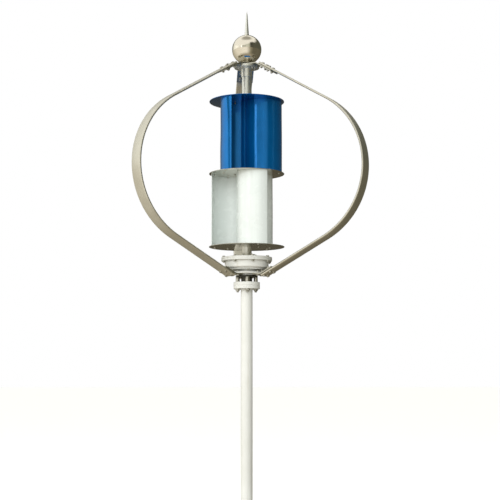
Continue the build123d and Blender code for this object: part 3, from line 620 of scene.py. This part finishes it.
def frame_matrix(origin, x_axis, z_axis):
    """Matrix with the given origin, local X and local Z."""
    y_axis = z_axis.cross(x_axis)
    columns = Matrix((x_axis, y_axis, z_axis)).transposed().to_4x4()
    return Matrix.Translation(origin) @ columns


def blade_bolt_places(azimuth, level):
    turn = Matrix.Rotation(math.radians(azimuth), 4, "Z")
    normal = run_normal(level)
    out = Vector((normal.x, 0, normal.y))
    for rho in BLADE_BOLT_RHOS[level]:
        mid = run_point(level, rho) + normal * (BLADE_T / 2)
        for y in (-BLADE_BOLT_SPREAD, BLADE_BOLT_SPREAD):
            yield turn @ frame_matrix(Vector((mid.x, y, mid.y)), Vector((0, 1, 0)), out)


def add_blade_bolts(bm):
    for azimuth in BLADE_AZIMUTHS:
        for level in SLOPE:
            for place in blade_bolt_places(azimuth, level):
                bolt(bm, place, M8, BLADE_T + BRACKET_T)


def add_bracket_bolts(bm):
    tab_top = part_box("upper_bracket_1")[1].z
    tab_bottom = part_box("lower_bracket_1")[0].z
    for azimuth in BLADE_AZIMUTHS:
        turn = Matrix.Rotation(math.radians(azimuth), 4, "Z")
        for side in (-1, 1):
            upper = Vector((TAB_BOLT_RHO["upper"], side * TAB_BOLT_SPREAD["upper"], tab_top))
            bolt(bm, turn @ Matrix.Translation(upper), M6, HUB_PLATE_T + BRACKET_T)
            lower = Vector((TAB_BOLT_RHO["lower"], side * TAB_BOLT_SPREAD["lower"], tab_bottom))
            bolt(bm, turn @ Matrix.Translation(lower) @ FLIP, M8, BLADE_FLANGE_T + BRACKET_T)


for number, azimuth in enumerate(BLADE_AZIMUTHS, 1):
    piece = finished(f"blade_strip_{number}", blade(azimuth), f"blade_{number}", blade_materials[azimuth])
    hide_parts(f"blade_{number}")
    for level in SLOPE:
        node = f"{level}_bracket_{number}"
        piece = finished(f"{level}_bent_bracket_{number}", bracket(level, azimuth), node, bevel=0.7 * MM)
        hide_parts(node)
group("blade_bolt_set", "blade_bolts", add_blade_bolts)
group("bracket_bolt_set", "bracket_bolts", add_bracket_bolts)


# ---------------------------------------------------------------- Savonius buckets
SLEEVE_R = radius("upper_sleeve")


def sleeve_meeting():
    """Azimuth, in the bucket's frame, where its sheet meets the sleeve, in degrees."""
    x = (SLEEVE_R ** 2 + BUCKET_OFFSET ** 2 - BUCKET_R ** 2) / (2 * BUCKET_OFFSET)
    return 360 - math.degrees(math.acos(x / SLEEVE_R))


def bucket_path(steps=84):
    """Mid-line of the sheet in plan: flange on the sleeve, half-round sheet, folded hem at the tip."""
    mid = SLEEVE_R + SHEET_T / 2
    end = sleeve_meeting()
    path = []
    for k in range(7):
        angle = math.radians(BUCKET_FLANGE_END + (end - 2 - BUCKET_FLANGE_END) * k / 6)
        path.append(Vector((mid * math.cos(angle), mid * math.sin(angle))))
    centre = Vector((BUCKET_OFFSET, 0))
    meeting = Vector((mid * math.cos(math.radians(end)), mid * math.sin(math.radians(end)))) - centre
    first = math.atan2(meeting.y, meeting.x) + 2 * math.pi
    for k in range(steps + 1):
        angle = first + (2 * math.pi - first) * k / steps
        path.append(centre + BUCKET_R * Vector((math.cos(angle), math.sin(angle))))
    hem_r = 1.1 * MM
    curl = path[-1] + Vector((-hem_r, 0))
    for k in range(1, 7):
        angle = math.pi * k / 6
        path.append(curl + hem_r * Vector((math.cos(angle), math.sin(angle))))
    for k in range(2):
        path.append(path[-1] + Vector((-0.1 * MM, -1.5 * MM)))
    return path


def bucket(tip, low, high, seed):
    """Half-round sheet with slight waves, tabs folded onto the discs."""
    turn = Matrix.Rotation(math.radians(tip), 4, "Z")
    path = bucket_path()
    centre = Vector((BUCKET_OFFSET, 0))
    rows = 40
    ease = 0.2 * MM
    bm = bmesh.new()
    grid = {1: [], -1: []}
    for row in range(rows + 1):
        t = row / rows
        z = low + ease + (high - low - 2 * ease) * t
        window = (4 * t * (1 - t)) ** 0.5
        for side in (1, -1):
            line = []
            for i, point in enumerate(path):
                ahead = path[min(i + 1, len(path) - 1)] - path[max(i - 1, 0)]
                normal = Vector((ahead.y, -ahead.x)).normalized()
                u = i / len(path)
                reach = math.sin(math.pi * min(max((u - 0.08) / 0.92, 0), 1))
                wave = noise.noise(Vector((u * 3.1 + seed, t * 2.2, seed * 0.7))) * 1.6 * MM
                wave += noise.noise(Vector((u * 7.0 + seed, t * 0.8, seed))) * 0.5 * MM
                p = point + normal * (side * SHEET_T / 2 + wave * window * reach)
                line.append(bm.verts.new(turn @ Vector((p.x, p.y, z))))
            grid[side].append(line)
    count = len(path)
    for row in range(rows):
        for i in range(count - 1):
            for side in (1, -1):
                a, b = grid[side][row], grid[side][row + 1]
                quad = (a[i], a[i + 1], b[i + 1], b[i])
                bm.faces.new(quad if side == 1 else tuple(reversed(quad)))
        for i in (0, count - 1):
            a, b = grid[1], grid[-1]
            bm.faces.new((a[row][i], a[row + 1][i], b[row + 1][i], b[row][i]))
    for row in (0, rows):
        for i in range(count - 1):
            a, b = grid[1][row], grid[-1][row]
            bm.faces.new((a[i], a[i + 1], b[i + 1], b[i]))
    for angle in TAB_ANGLES:
        for z0 in (low, high - SHEET_T):
            add_tab(bm, turn @ Matrix.Translation((centre.x, centre.y, 0)), angle, z0)
    return bm


def add_tab(bm, matrix, angle, z0):
    """Folded tab with rounded corners, from the sheet towards the bucket's middle."""
    outer = BUCKET_R - SHEET_T / 2 + 0.2 * MM
    inner = BUCKET_R - TAB_DEPTH
    outline = []
    for k in range(7):
        a = math.radians(angle - TAB_HALF_ANGLE + 2 * TAB_HALF_ANGLE * k / 6)
        outline.append((outer * math.cos(a), outer * math.sin(a)))
    for r, half in ((inner + 3 * MM, TAB_HALF_ANGLE - 0.3), (inner, TAB_HALF_ANGLE - 2.2)):
        a = math.radians(angle + half)
        outline.append((r * math.cos(a), r * math.sin(a)))
    for r, half in ((inner, TAB_HALF_ANGLE - 2.2), (inner + 3 * MM, TAB_HALF_ANGLE - 0.3)):
        a = math.radians(angle - half)
        outline.append((r * math.cos(a), r * math.sin(a)))
    prism(bm, outline, z0, z0 + SHEET_T, matrix)


def tab_screw_places(level):
    """Matrix of each screw through a tab and its disc, at the upper and the lower end of a stage."""
    low, high = span(f"{level}_bucket_1")
    disc_t = span("top_disc")[1] - span("top_disc")[0]
    for tip in BUCKET_TIPS[level]:
        for angle in TAB_ANGLES:
            spot = (Matrix.Rotation(math.radians(tip), 4, "Z") @ Matrix.Translation((BUCKET_OFFSET, 0, 0))
                    @ polar(BUCKET_R - TAB_SCREW_INSET, angle))
            yield spot @ Matrix.Translation((0, 0, high + disc_t))
            yield spot @ Matrix.Translation((0, 0, low - disc_t)) @ FLIP


def add_tab_screws(bm):
    disc_t = span("top_disc")[1] - span("top_disc")[0]
    for level in BUCKET_TIPS:
        for place in tab_screw_places(level):
            bolt(bm, place, M5, disc_t + SHEET_T, tail=1.5 * MM)


def rivets(level):
    """Dome heads down the flanges of one stage's buckets, in that stage's paint."""
    seat = SLEEVE_R + SHEET_T
    mid = (BUCKET_FLANGE_END + sleeve_meeting()) / 2
    low, high = span(f"{level}_bucket_1")
    step = (high - low - 2 * RIVET_MARGIN) / (RIVET_COUNT - 1)
    rings = [(4 * MM * math.cos(a), 2.3 * MM * math.sin(a)) for a in (0, 0.4, 0.8, 1.2)]
    bm = bmesh.new()
    for tip in BUCKET_TIPS[level]:
        for k in range(RIVET_COUNT):
            place = polar(seat, tip + mid, low + RIVET_MARGIN + step * k) @ OUTWARD
            round_bar(bm, place, [(2 * MM, -2.5 * MM), (2 * MM, 0.0), *rings], 18)
    paint = slot_of[f"{level}_bucket_1"]
    piece = finished(f"{level}_rivet_set", bm, "rivets", materials[paint])
    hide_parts("rivets")


for level, tips in BUCKET_TIPS.items():
    for number, tip in enumerate(tips, 1):
        node = f"{level}_bucket_{number}"
        seed = number + (10 if level == "upper" else 20)
        piece = finished(f"{level}_bucket_sheet_{number}", bucket(tip, *span(node), seed), node)
        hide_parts(node)
group("tab_screw_set", "bucket_screws", add_tab_screws)
for level in BUCKET_TIPS:
    rivets(level)


# ---------------------------------------------------------------- turned parts
SHAFT_R = radius("rotor_shaft")
for name in ("bottom_disc", "middle_disc", "top_disc"):
    tube(f"{name}_sheet", name, SHAFT_R + 0.2 * MM, edge=0.9 * MM, segments=192)
for level in ("lower", "upper"):
    tube(f"{level}_sleeve_tube", f"{level}_sleeve", SHAFT_R + 0.2 * MM, edge=0.5 * MM)
tube("shaft_tube", "rotor_shaft", SHAFT_R - 4 * MM)
tube("mast_pipe", "mast_tube", radius("mast_tube") - MAST_WALL, edge=0.3 * MM)
tube("mast_flange_ring", "mast_flange", radius("mast_tube") - MAST_WALL, edge=1.5 * MM)
tube("neck_flange_ring", "neck_flange", 30 * MM, edge=1.5 * MM)
tube("spindle_base_ring", "spindle_base", 27 * MM, edge=0.8 * MM)


def lower_case():
    low, high = span("lower_case")
    rim_r, case_r, wall = radius("lower_case"), 107 * MM, 6 * MM
    rim_z = high - CASE_RIM_T
    floor_r = 36 * MM
    points = [(floor_r, low), (case_r - 5 * MM, low), (case_r, low + 5 * MM), (case_r, rim_z), (rim_r, rim_z),
              (rim_r, high), (case_r - wall, high), (case_r - wall, low + wall), (floor_r, low + wall)]
    turned("case_bowl", "lower_case", points,
           [0, 4 * MM, 4 * MM, 3 * MM, 2 * MM, 1 * MM, 0, 3 * MM, 0], segments=160)


def upper_cover():
    low, high = span("upper_cover")
    rim_r = radius("upper_cover")
    bore = 31 * MM
    plate = high - 10 * MM
    points = [(bore, low), (bore + 7 * MM, low), (bore + 7 * MM, plate), (rim_r, plate),
              (rim_r, high - 1 * MM), (rim_r - 4 * MM, high), (bore, high)]
    turned("cover_plate", "upper_cover", points,
           [0, 1 * MM, 2 * MM, 1 * MM, 1.2 * MM, 2 * MM, 0], segments=160)


def lower_hub():
    low, high = span("lower_hub")
    flange_r, tube_r = 86 * MM, 47 * MM
    flange_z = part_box("lower_bracket_1")[0].z + BRACKET_T
    flange_top = flange_z + BLADE_FLANGE_T
    top_r = radius("lower_hub")
    top_z = high - HUB_TOP_FLANGE_T
    points = [(40 * MM, low), (tube_r, low), (tube_r, flange_z), (flange_r, flange_z), (flange_r, flange_top),
              (tube_r + 2 * MM, flange_top), (tube_r + 2 * MM, top_z), (top_r, top_z), (top_r, high),
              (40 * MM, high)]
    turned("hub_spool", "lower_hub", points,
           [0, 1 * MM, 1 * MM, 1.2 * MM, 1.2 * MM, 4 * MM, 5 * MM, 1.2 * MM, 1.2 * MM, 0], segments=128)


def shaft_flange():
    low, high = span("shaft_flange")
    plate = low + SHAFT_FLANGE_T
    outer, socket = radius("shaft_flange"), SHAFT_R + 4.85 * MM
    points = [(20 * MM, low), (outer, low), (outer, plate), (socket, plate), (socket, high), (SHAFT_R, high),
              (SHAFT_R, plate), (20 * MM, plate)]
    turned("shaft_foot", "shaft_flange", points, [0, 1 * MM, 1.2 * MM, 3 * MM, 1 * MM, 0, 0, 0])


def top_hub():
    low, high = span("top_hub")
    step = high - HUB_BOSS_H
    plate = step - HUB_PLATE_T
    outer, socket = radius("top_hub"), SHAFT_R + 3.35 * MM
    points = [(FINIAL_HOLE_R, plate), (SHAFT_R, plate), (SHAFT_R, low), (socket, low), (socket, plate),
              (outer, plate), (outer, step), (HUB_BOSS_R, step), (HUB_BOSS_R, high), (FINIAL_HOLE_R, high)]
    bends = [0, 0, 0, 1.2 * MM, 3 * MM, 1.2 * MM, 1.2 * MM, 1 * MM, 1.2 * MM, 0]
    turned("hub_cap", "top_hub", points, bends)


def needle():
    low, high = span("needle")
    base = radius("needle")
    collar = low + 5 * MM
    points = [(0, low), (base, low), (base, collar), (base - 0.6 * MM, collar + 2 * MM),
              (3.5 * MM, high - 17 * MM), (0.3 * MM, high), (0, high)]
    turned("needle_spike", "needle", points, [0, 0.8 * MM, 0.6 * MM, 1 * MM, 4 * MM, 0, 0], segments=64)


def ball():
    """Hollow ball of two pressed halves: a faint seam and shallow dents."""
    low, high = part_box("finial_ball")
    outer = (high.x - low.x) / 2
    middle = high.z - outer
    foot = math.asin(min(1, (middle - low.z) / outer))
    steps = 150
    bm = bmesh.new()
    outline = []
    for k in range(steps + 1):
        angle = -foot + (foot + math.pi / 2 - 0.085) * k / steps
        seam = 0.35 * MM * math.exp(-((angle * outer) / (0.9 * MM)) ** 2)
        outline.append(Vector(((outer - seam) * math.cos(angle), middle + (outer - seam) * math.sin(angle))))
    inner = outer - 2 * MM
    back = [Vector((p.x * inner / outer, middle + (p.y - middle) * inner / outer)) for p in reversed(outline)]
    lathe(bm, outline + back, 200)
    centre = Vector((0, 0, middle))
    for vert in bm.verts:
        out = (vert.co - centre).normalized()
        vert.co += out * (noise.noise(out * 2.6) * 0.30 + noise.noise(out * 6.0 + UP) * 0.06) * MM
    piece = finished("ball_shell", bm, "finial_ball")
    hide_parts("finial_ball")


for build in (lower_case, upper_cover, lower_hub, shaft_flange, top_hub, needle, ball):
    build()


# ---------------------------------------------------------------- fastener groups
def add_rim_bolts(bm):
    top, bottom = span("upper_cover")[1], span("lower_case")[1] - CASE_RIM_T
    for k in range(RIM_BOLT_COUNT):
        place = polar(RIM_BOLT_RING_R, RIM_BOLT_FIRST + 360 * k / RIM_BOLT_COUNT, top)
        bolt(bm, place, M8, top - bottom)


def add_case_screws(bm):
    plate = span("shaft_flange")[0] + SHAFT_FLANGE_T
    hub_top_flange = span("lower_hub")[1] - HUB_TOP_FLANGE_T
    for k in range(6):
        cap_screw(bm, polar(CASE_SCREW_RING_R, 60 * k, plate), M6, 17.5 * MM)
        cap_screw(bm, polar(80 * MM, 60 * k + 30, hub_top_flange) @ FLIP, M6, 12.5 * MM)


def add_sleeve_screws(bm):
    for level, tips in BUCKET_TIPS.items():
        low, high = span(f"{level}_sleeve")
        for z in (low + 18 * MM, high - 18 * MM):
            cap_screw(bm, polar(SLEEVE_R + 1.2 * MM, tips[0] + 291, z) @ OUTWARD, M6, 4 * MM)


def add_neck_studs(bm):
    flange_bottom = span("mast_flange")[0]
    low, high = span("neck_studs")
    for k in range(4):
        place = polar(PILLAR_RING_R, 90 * k)
        thread(bm, place, M12 * 0.97, low, high)
        washer(bm, place, 2.1 * M12, flange_bottom - 2.4 * MM, flange_bottom)
        hexagon(3.25 * M12, ((flange_bottom - 1.6 * M12, 0.87), (flange_bottom - 1.5 * M12, 1.0),
                             (flange_bottom - 2.6 * MM, 1.0), (flange_bottom - 2.3 * MM, 0.97)), bm, place)


def add_pillars(bm):
    low, high = span("neck_pillars")
    r = 10 * MM
    for k in range(4):
        outline = rounded([(M12 + 0.2 * MM, low), (r, low), (r, high), (M12 + 0.2 * MM, high)],
                          [0, 0.8 * MM, 0.8 * MM, 0])
        lathe(bm, outline, 40, polar(PILLAR_RING_R, 90 * k))


group("rim_bolt_set", "rim_bolts", add_rim_bolts)
group("case_screw_set", "case_screws", add_case_screws)
group("sleeve_screw_set", "sleeve_screws", add_sleeve_screws)
group("neck_stud_set", "neck_studs", add_neck_studs)
group("pillar_set", "neck_pillars", add_pillars)


# ---------------------------------------------------------------- base and weld beads
def base_plate():
    low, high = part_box("base_plate")
    bm = bmesh.new()
    corner = 12 * MM
    points = [(low.x, low.y), (high.x, low.y), (high.x, high.y), (low.x, high.y)]
    outline = rounded(points, [corner] * 4, steps=8)
    prism(bm, [(p.x, p.y) for p in outline], low.z, high.z, Matrix.Identity(4))
    holes = bmesh.new()
    anchor = 115 * MM
    anchor_holes = [(sx * anchor, sy * anchor, 9 * MM) for sx in (-1, 1) for sy in (-1, 1)]
    for x, y, r in ((0, 0, 23 * MM), *anchor_holes):
        place = Matrix.Translation((x, y, 0))
        round_bar(holes, place, [(r, low.z - 5 * MM), (r, high.z + 5 * MM)], 48)
    cutter = finished("base_holes", holes, "base_plate")
    piece = finished("foot_plate", bm, "base_plate")
    cut = piece.modifiers.new("holes", "BOOLEAN")
    cut.object = cutter
    cut.solver = "EXACT"
    bake(piece)
    bpy.data.objects.remove(cutter)
    edge = piece.modifiers.new("edge", "BEVEL")
    edge.width = 1.2 * MM
    edge.segments = 3
    edge.limit_method = "ANGLE"
    edge.angle_limit = math.radians(50)
    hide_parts("base_plate")


def bake(piece):
    """Apply a piece's modifiers to its mesh."""
    graph = bpy.context.evaluated_depsgraph_get()
    mesh = bpy.data.meshes.new_from_object(piece.evaluated_get(graph))
    piece.modifiers.clear()
    piece.data = mesh


def add_gussets(bm):
    low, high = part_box("base_gussets")
    mast_r = radius("mast_tube")
    half = 3 * MM
    for k in range(4):
        turn = Matrix.Rotation(math.radians(90 * k), 4, "Z")
        points = [(mast_r - 0.4 * MM, low.z), (high.x, low.z), (high.x, low.z + 12 * MM),
                  (mast_r + 10 * MM, high.z), (mast_r - 0.4 * MM, high.z)]
        outline = rounded(points, [0, 0, 3 * MM, 4 * MM, 0])
        near = [bm.verts.new(turn @ Vector((p[0], -half, p[1]))) for p in outline]
        far = [bm.verts.new(turn @ Vector((p[0], half, p[1]))) for p in outline]
        count = len(outline)
        for i in range(count):
            j = (i + 1) % count
            bm.faces.new((near[i], near[j], far[j], far[i]))
        bm.faces.new(near)
        bm.faces.new(list(reversed(far)))


def bead(bm, points, closed, r):
    """Weld bead: a fat line of overlapping ripples along a list of points."""
    count = len(points)
    rings = []
    for i, point in enumerate(points):
        ahead = points[(i + 1) % count] if closed else points[min(i + 1, count - 1)]
        behind = points[i - 1] if closed else points[max(i - 1, 0)]
        along = (ahead - behind).normalized()
        side = along.cross(UP if abs(along.z) < 0.9 else Vector((1, 0, 0))).normalized()
        other = along.cross(side)
        swell = r * (1 + 0.10 * math.sin(i * 1.57) + 0.12 * noise.noise(point * 90))
        ring = []
        for k in range(10):
            a = 2 * math.pi * k / 10
            ring.append(bm.verts.new(point + (side * math.cos(a) + other * math.sin(a)) * swell))
        rings.append(ring)
    pairs = list(zip(rings, rings[1:]))
    if closed:
        pairs.append((rings[-1], rings[0]))
    for near, far in pairs:
        for i in range(10):
            j = (i + 1) % 10
            bm.faces.new((near[i], near[j], far[j], far[i]))
    if not closed:
        bm.faces.new(rings[-1])
        bm.faces.new(list(reversed(rings[0])))


def circle_points(r, z, spacing=1.3 * MM):
    count = int(2 * math.pi * r / spacing)
    return [Vector((r * math.cos(2 * math.pi * k / count), r * math.sin(2 * math.pi * k / count), z))
            for k in range(count)]


def line_points(start, end, spacing=1.3 * MM):
    count = max(2, int((end - start).length / spacing))
    return [start.lerp(end, k / count) for k in range(count + 1)]


def weld_ring(name, node, r, z, size=2.6 * MM):
    bm = bmesh.new()
    bead(bm, circle_points(r, z), True, size)
    return finished(name, bm, node, smooth_angle=60)


def gusset_welds():
    low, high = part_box("base_gussets")
    mast_r = radius("mast_tube")
    bm = bmesh.new()
    for k in range(4):
        turn = Matrix.Rotation(math.radians(90 * k), 4, "Z")
        for side in (-3.4 * MM, 3.4 * MM):
            foot = [turn @ Vector((x, side, low.z + 0.4 * MM)) for x in (mast_r + 3 * MM, high.x - 2 * MM)]
            bead(bm, line_points(*foot), False, 1.9 * MM)
            wall = [turn @ Vector((mast_r + 0.2 * MM, side, z)) for z in (low.z + 3 * MM, high.z - 2 * MM)]
            bead(bm, line_points(*wall), False, 1.9 * MM)
    finished("gusset_welds", bm, "base_gussets", smooth_angle=60)


base_plate()
group("gusset_plates", "base_gussets", add_gussets)
gusset_welds()
MAST_R = radius("mast_tube")
weld_ring("mast_foot_weld", "mast_tube", MAST_R + 0.6 * MM, span("mast_tube")[0] + 0.8 * MM, 3.0 * MM)
weld_ring("mast_head_weld", "mast_tube", MAST_R + 0.6 * MM, span("mast_tube")[1] - 0.8 * MM, 2.8 * MM)
weld_ring("shaft_foot_weld", "shaft_flange", SHAFT_R + 0.4 * MM, span("shaft_flange")[1] + 0.3 * MM, 1.8 * MM)
HUB_UNDERSIDE = span("top_hub")[1] - HUB_BOSS_H - HUB_PLATE_T
weld_ring("top_hub_weld", "top_hub", SHAFT_R + 3.8 * MM, HUB_UNDERSIDE - 0.8 * MM, 2.2 * MM)
weld_ring("spindle_weld", "neck_flange", 27.6 * MM, span("neck_flange")[1] + 0.6 * MM, 2.2 * MM)
bm = bmesh.new()
bead(bm, circle_points(12.6 * MM, span("finial_ball")[0] + 0.9 * MM), True, 1.3 * MM)
finished("ball_foot_weld", bm, "finial_ball", smooth_angle=60)


# ---------------------------------------------------------------- stage, light and camera
EAST, FAR, WEST, BEHIND = 0.0, 0.25, 0.5, 0.74
OLIVE = (0.095, 0.098, 0.072)
GROUND = ((EAST, (0.15, 0.14, 0.10)), (0.17, (0.11, 0.10, 0.07)), (FAR, (0.10, 0.088, 0.06)),
          (0.33, (0.46, 0.43, 0.34)), (WEST, (0.88, 0.84, 0.74)), (0.66, (0.96, 0.93, 0.84)),
          (BEHIND, (0.96, 0.93, 0.85)), (0.82, (0.30, 0.28, 0.20)), (0.88, (0.14, 0.13, 0.09)))
SURROUND = ((EAST, OLIVE), (0.17, OLIVE), (0.25, (0.14, 0.14, 0.10)), (0.33, (0.24, 0.24, 0.20)),
            (0.42, (1.05, 1.06, 1.00)), (WEST, (1.35, 1.35, 1.28)), (0.595, (0.80, 0.80, 0.76)),
            (0.605, (0.80, 0.80, 0.78)), (0.617, (3.40, 3.30, 3.20)), (0.629, (0.45, 0.46, 0.42)),
            (0.70, (0.45, 0.47, 0.40)), (BEHIND, (0.62, 0.64, 0.56)), (0.79, (0.60, 0.62, 0.52)),
            (0.83, (0.05, 0.05, 0.04)), (0.90, OLIVE))
TREE_TOP = ((EAST, 0.74), (0.20, 0.72), (0.31, 0.55), (0.40, 0.35), (0.66, 0.36), (BEHIND, 0.46),
            (0.84, 0.72))


def world():
    """Bright open side on the left, dark trees on the right; the camera itself sees plain white.

    The tables above give colours by azimuth in turns, and TREE_TOP the sine of the trees' elevation.
    """
    made = bpy.data.worlds.new("studio")
    made.use_nodes = True
    tree = made.node_tree
    tree.nodes.clear()
    link = tree.links.new

    def node(kind, **settings):
        n = tree.nodes.new(kind)
        for key, value in settings.items():
            setattr(n, key, value)
        return n

    def arithmetic(operation, first, second):
        n = node("ShaderNodeMath", operation=operation)
        for socket, value in zip(n.inputs, (first, second)):
            if isinstance(value, float):
                socket.default_value = value
            else:
                link(value, socket)
        return n.outputs[0]

    def by_azimuth(stops):
        n = node("ShaderNodeValToRGB")
        elements = n.color_ramp.elements
        while len(elements) < len(stops):
            elements.new(0.5)
        for element, (position, colour) in zip(elements, stops):
            grey = isinstance(colour, float)
            element.position = position
            element.color = (colour, colour, colour, 1) if grey else (*colour, 1)
        link(turns, n.inputs["Fac"])
        return n.outputs["Color"]

    def blend(factor, first, second):
        n = node("ShaderNodeMix", data_type="RGBA")
        link(factor, n.inputs[0])
        for socket, value in ((n.inputs[6], first), (n.inputs[7], second)):
            if isinstance(value, tuple):
                socket.default_value = (*value, 1)
            else:
                link(value, socket)
        return n.outputs[2]

    def rise(value, low, high):
        n = node("ShaderNodeMapRange", interpolation_type="SMOOTHSTEP")
        n.inputs["From Min"].default_value = low
        n.inputs["From Max"].default_value = high
        link(value, n.inputs["Value"])
        return n.outputs["Result"]

    direction = node("ShaderNodeTexCoord").outputs["Generated"]
    parts = node("ShaderNodeSeparateXYZ")
    link(direction, parts.inputs[0])
    height = parts.outputs["Z"]
    azimuth = arithmetic("ARCTAN2", parts.outputs["Y"], parts.outputs["X"])
    turns = arithmetic("FRACT", arithmetic("DIVIDE", azimuth, 2 * math.pi), 0.0)
    leaves = node("ShaderNodeTexNoise")
    leaves.inputs["Scale"].default_value = 5.0
    leaves.inputs["Detail"].default_value = 4.0
    link(direction, leaves.inputs["Vector"])
    ragged = arithmetic("MULTIPLY", leaves.outputs["Fac"], 0.35)
    over_trees = arithmetic("SUBTRACT", arithmetic("ADD", height, ragged), by_azimuth(TREE_TOP))
    low_band = blend(rise(height, 0.10, 0.19), by_azimuth(GROUND), by_azimuth(SURROUND))
    sky = blend(rise(height, 0.86, 0.98), (1.0, 1.0, 0.96), (0.40, 0.39, 0.35))
    above = blend(rise(over_trees, 0.10, 0.26), low_band, sky)
    colour = blend(rise(height, -0.80, -0.50), (0.36, 0.32, 0.24), above)
    studio = node("ShaderNodeBackground")
    link(colour, studio.inputs["Color"])
    plain = node("ShaderNodeBackground")
    plain.inputs["Color"].default_value = (1, 1, 1, 1)
    mixed = node("ShaderNodeMixShader")
    link(node("ShaderNodeLightPath").outputs["Is Camera Ray"], mixed.inputs[0])
    link(studio.outputs[0], mixed.inputs[1])
    link(plain.outputs[0], mixed.inputs[2])
    out = node("ShaderNodeOutputWorld")
    link(mixed.outputs[0], out.inputs[0])
    bpy.context.scene.world = made


def softbox(name, place, aim, size, power, colour):
    light = bpy.data.lights.new(name, "AREA")
    light.shape = "RECTANGLE"
    light.size, light.size_y = size
    light.energy = power
    light.color = colour
    lamp = bpy.data.objects.new(name, light)
    lamp.location = place
    lamp.visible_glossy = False
    lamp.rotation_euler = (Vector(aim) - Vector(place)).to_track_quat("-Z", "Y").to_euler()
    bpy.context.scene.collection.objects.link(lamp)


def floor():
    bm = bmesh.new()
    bmesh.ops.create_grid(bm, x_segments=1, y_segments=1, size=80)
    mesh = bpy.data.meshes.new("floor")
    bm.to_mesh(mesh)
    bm.free()
    s = Shader("pale_floor", roughness=0.9, emission_strength=0.4)
    s.paint(s.ramp(s.noise(s.coords(), 3.0), (0.3, (0.93, 0.93, 0.92)), (0.7, (0.96, 0.96, 0.95))))
    mesh.materials.append(s.material)
    ground = bpy.data.objects.new("floor", mesh)
    ground.location.z = cad_box[0].z - 0.5 * MM
    ground.visible_glossy = False
    ground.visible_diffuse = False
    bpy.context.scene.collection.objects.link(ground)


def camera():
    data = bpy.data.cameras.new("camera")
    data.lens = CAMERA_LENS
    eye = bpy.data.objects.new("camera", data)
    eye.location = (CAMERA_DISTANCE * math.sin(CAMERA_AZIMUTH), -CAMERA_DISTANCE * math.cos(CAMERA_AZIMUTH),
                    CAMERA_HEIGHT)
    eye.rotation_euler = (math.pi / 2 + CAMERA_PITCH, 0, CAMERA_AZIMUTH + CAMERA_YAW)
    bpy.context.scene.collection.objects.link(eye)
    bpy.context.scene.camera = eye


world()
floor()
softbox("key", (-5.0, -3.6, 4.2), (0, 0, 1.5), (4.0, 4.0), 150, (1.0, 0.99, 0.97))
softbox("front_fill", (-1.0, -6.5, 2.6), (0, 0, 1.5), (3.0, 3.0), 150, (1.0, 1.0, 1.0))
softbox("right_fill", (5.0, -3.0, 2.4), (0, 0, 1.5), (4.0, 4.0), 70, (0.98, 1.0, 0.98))
camera()
bpy.context.scene.view_settings.view_transform = "Standard"
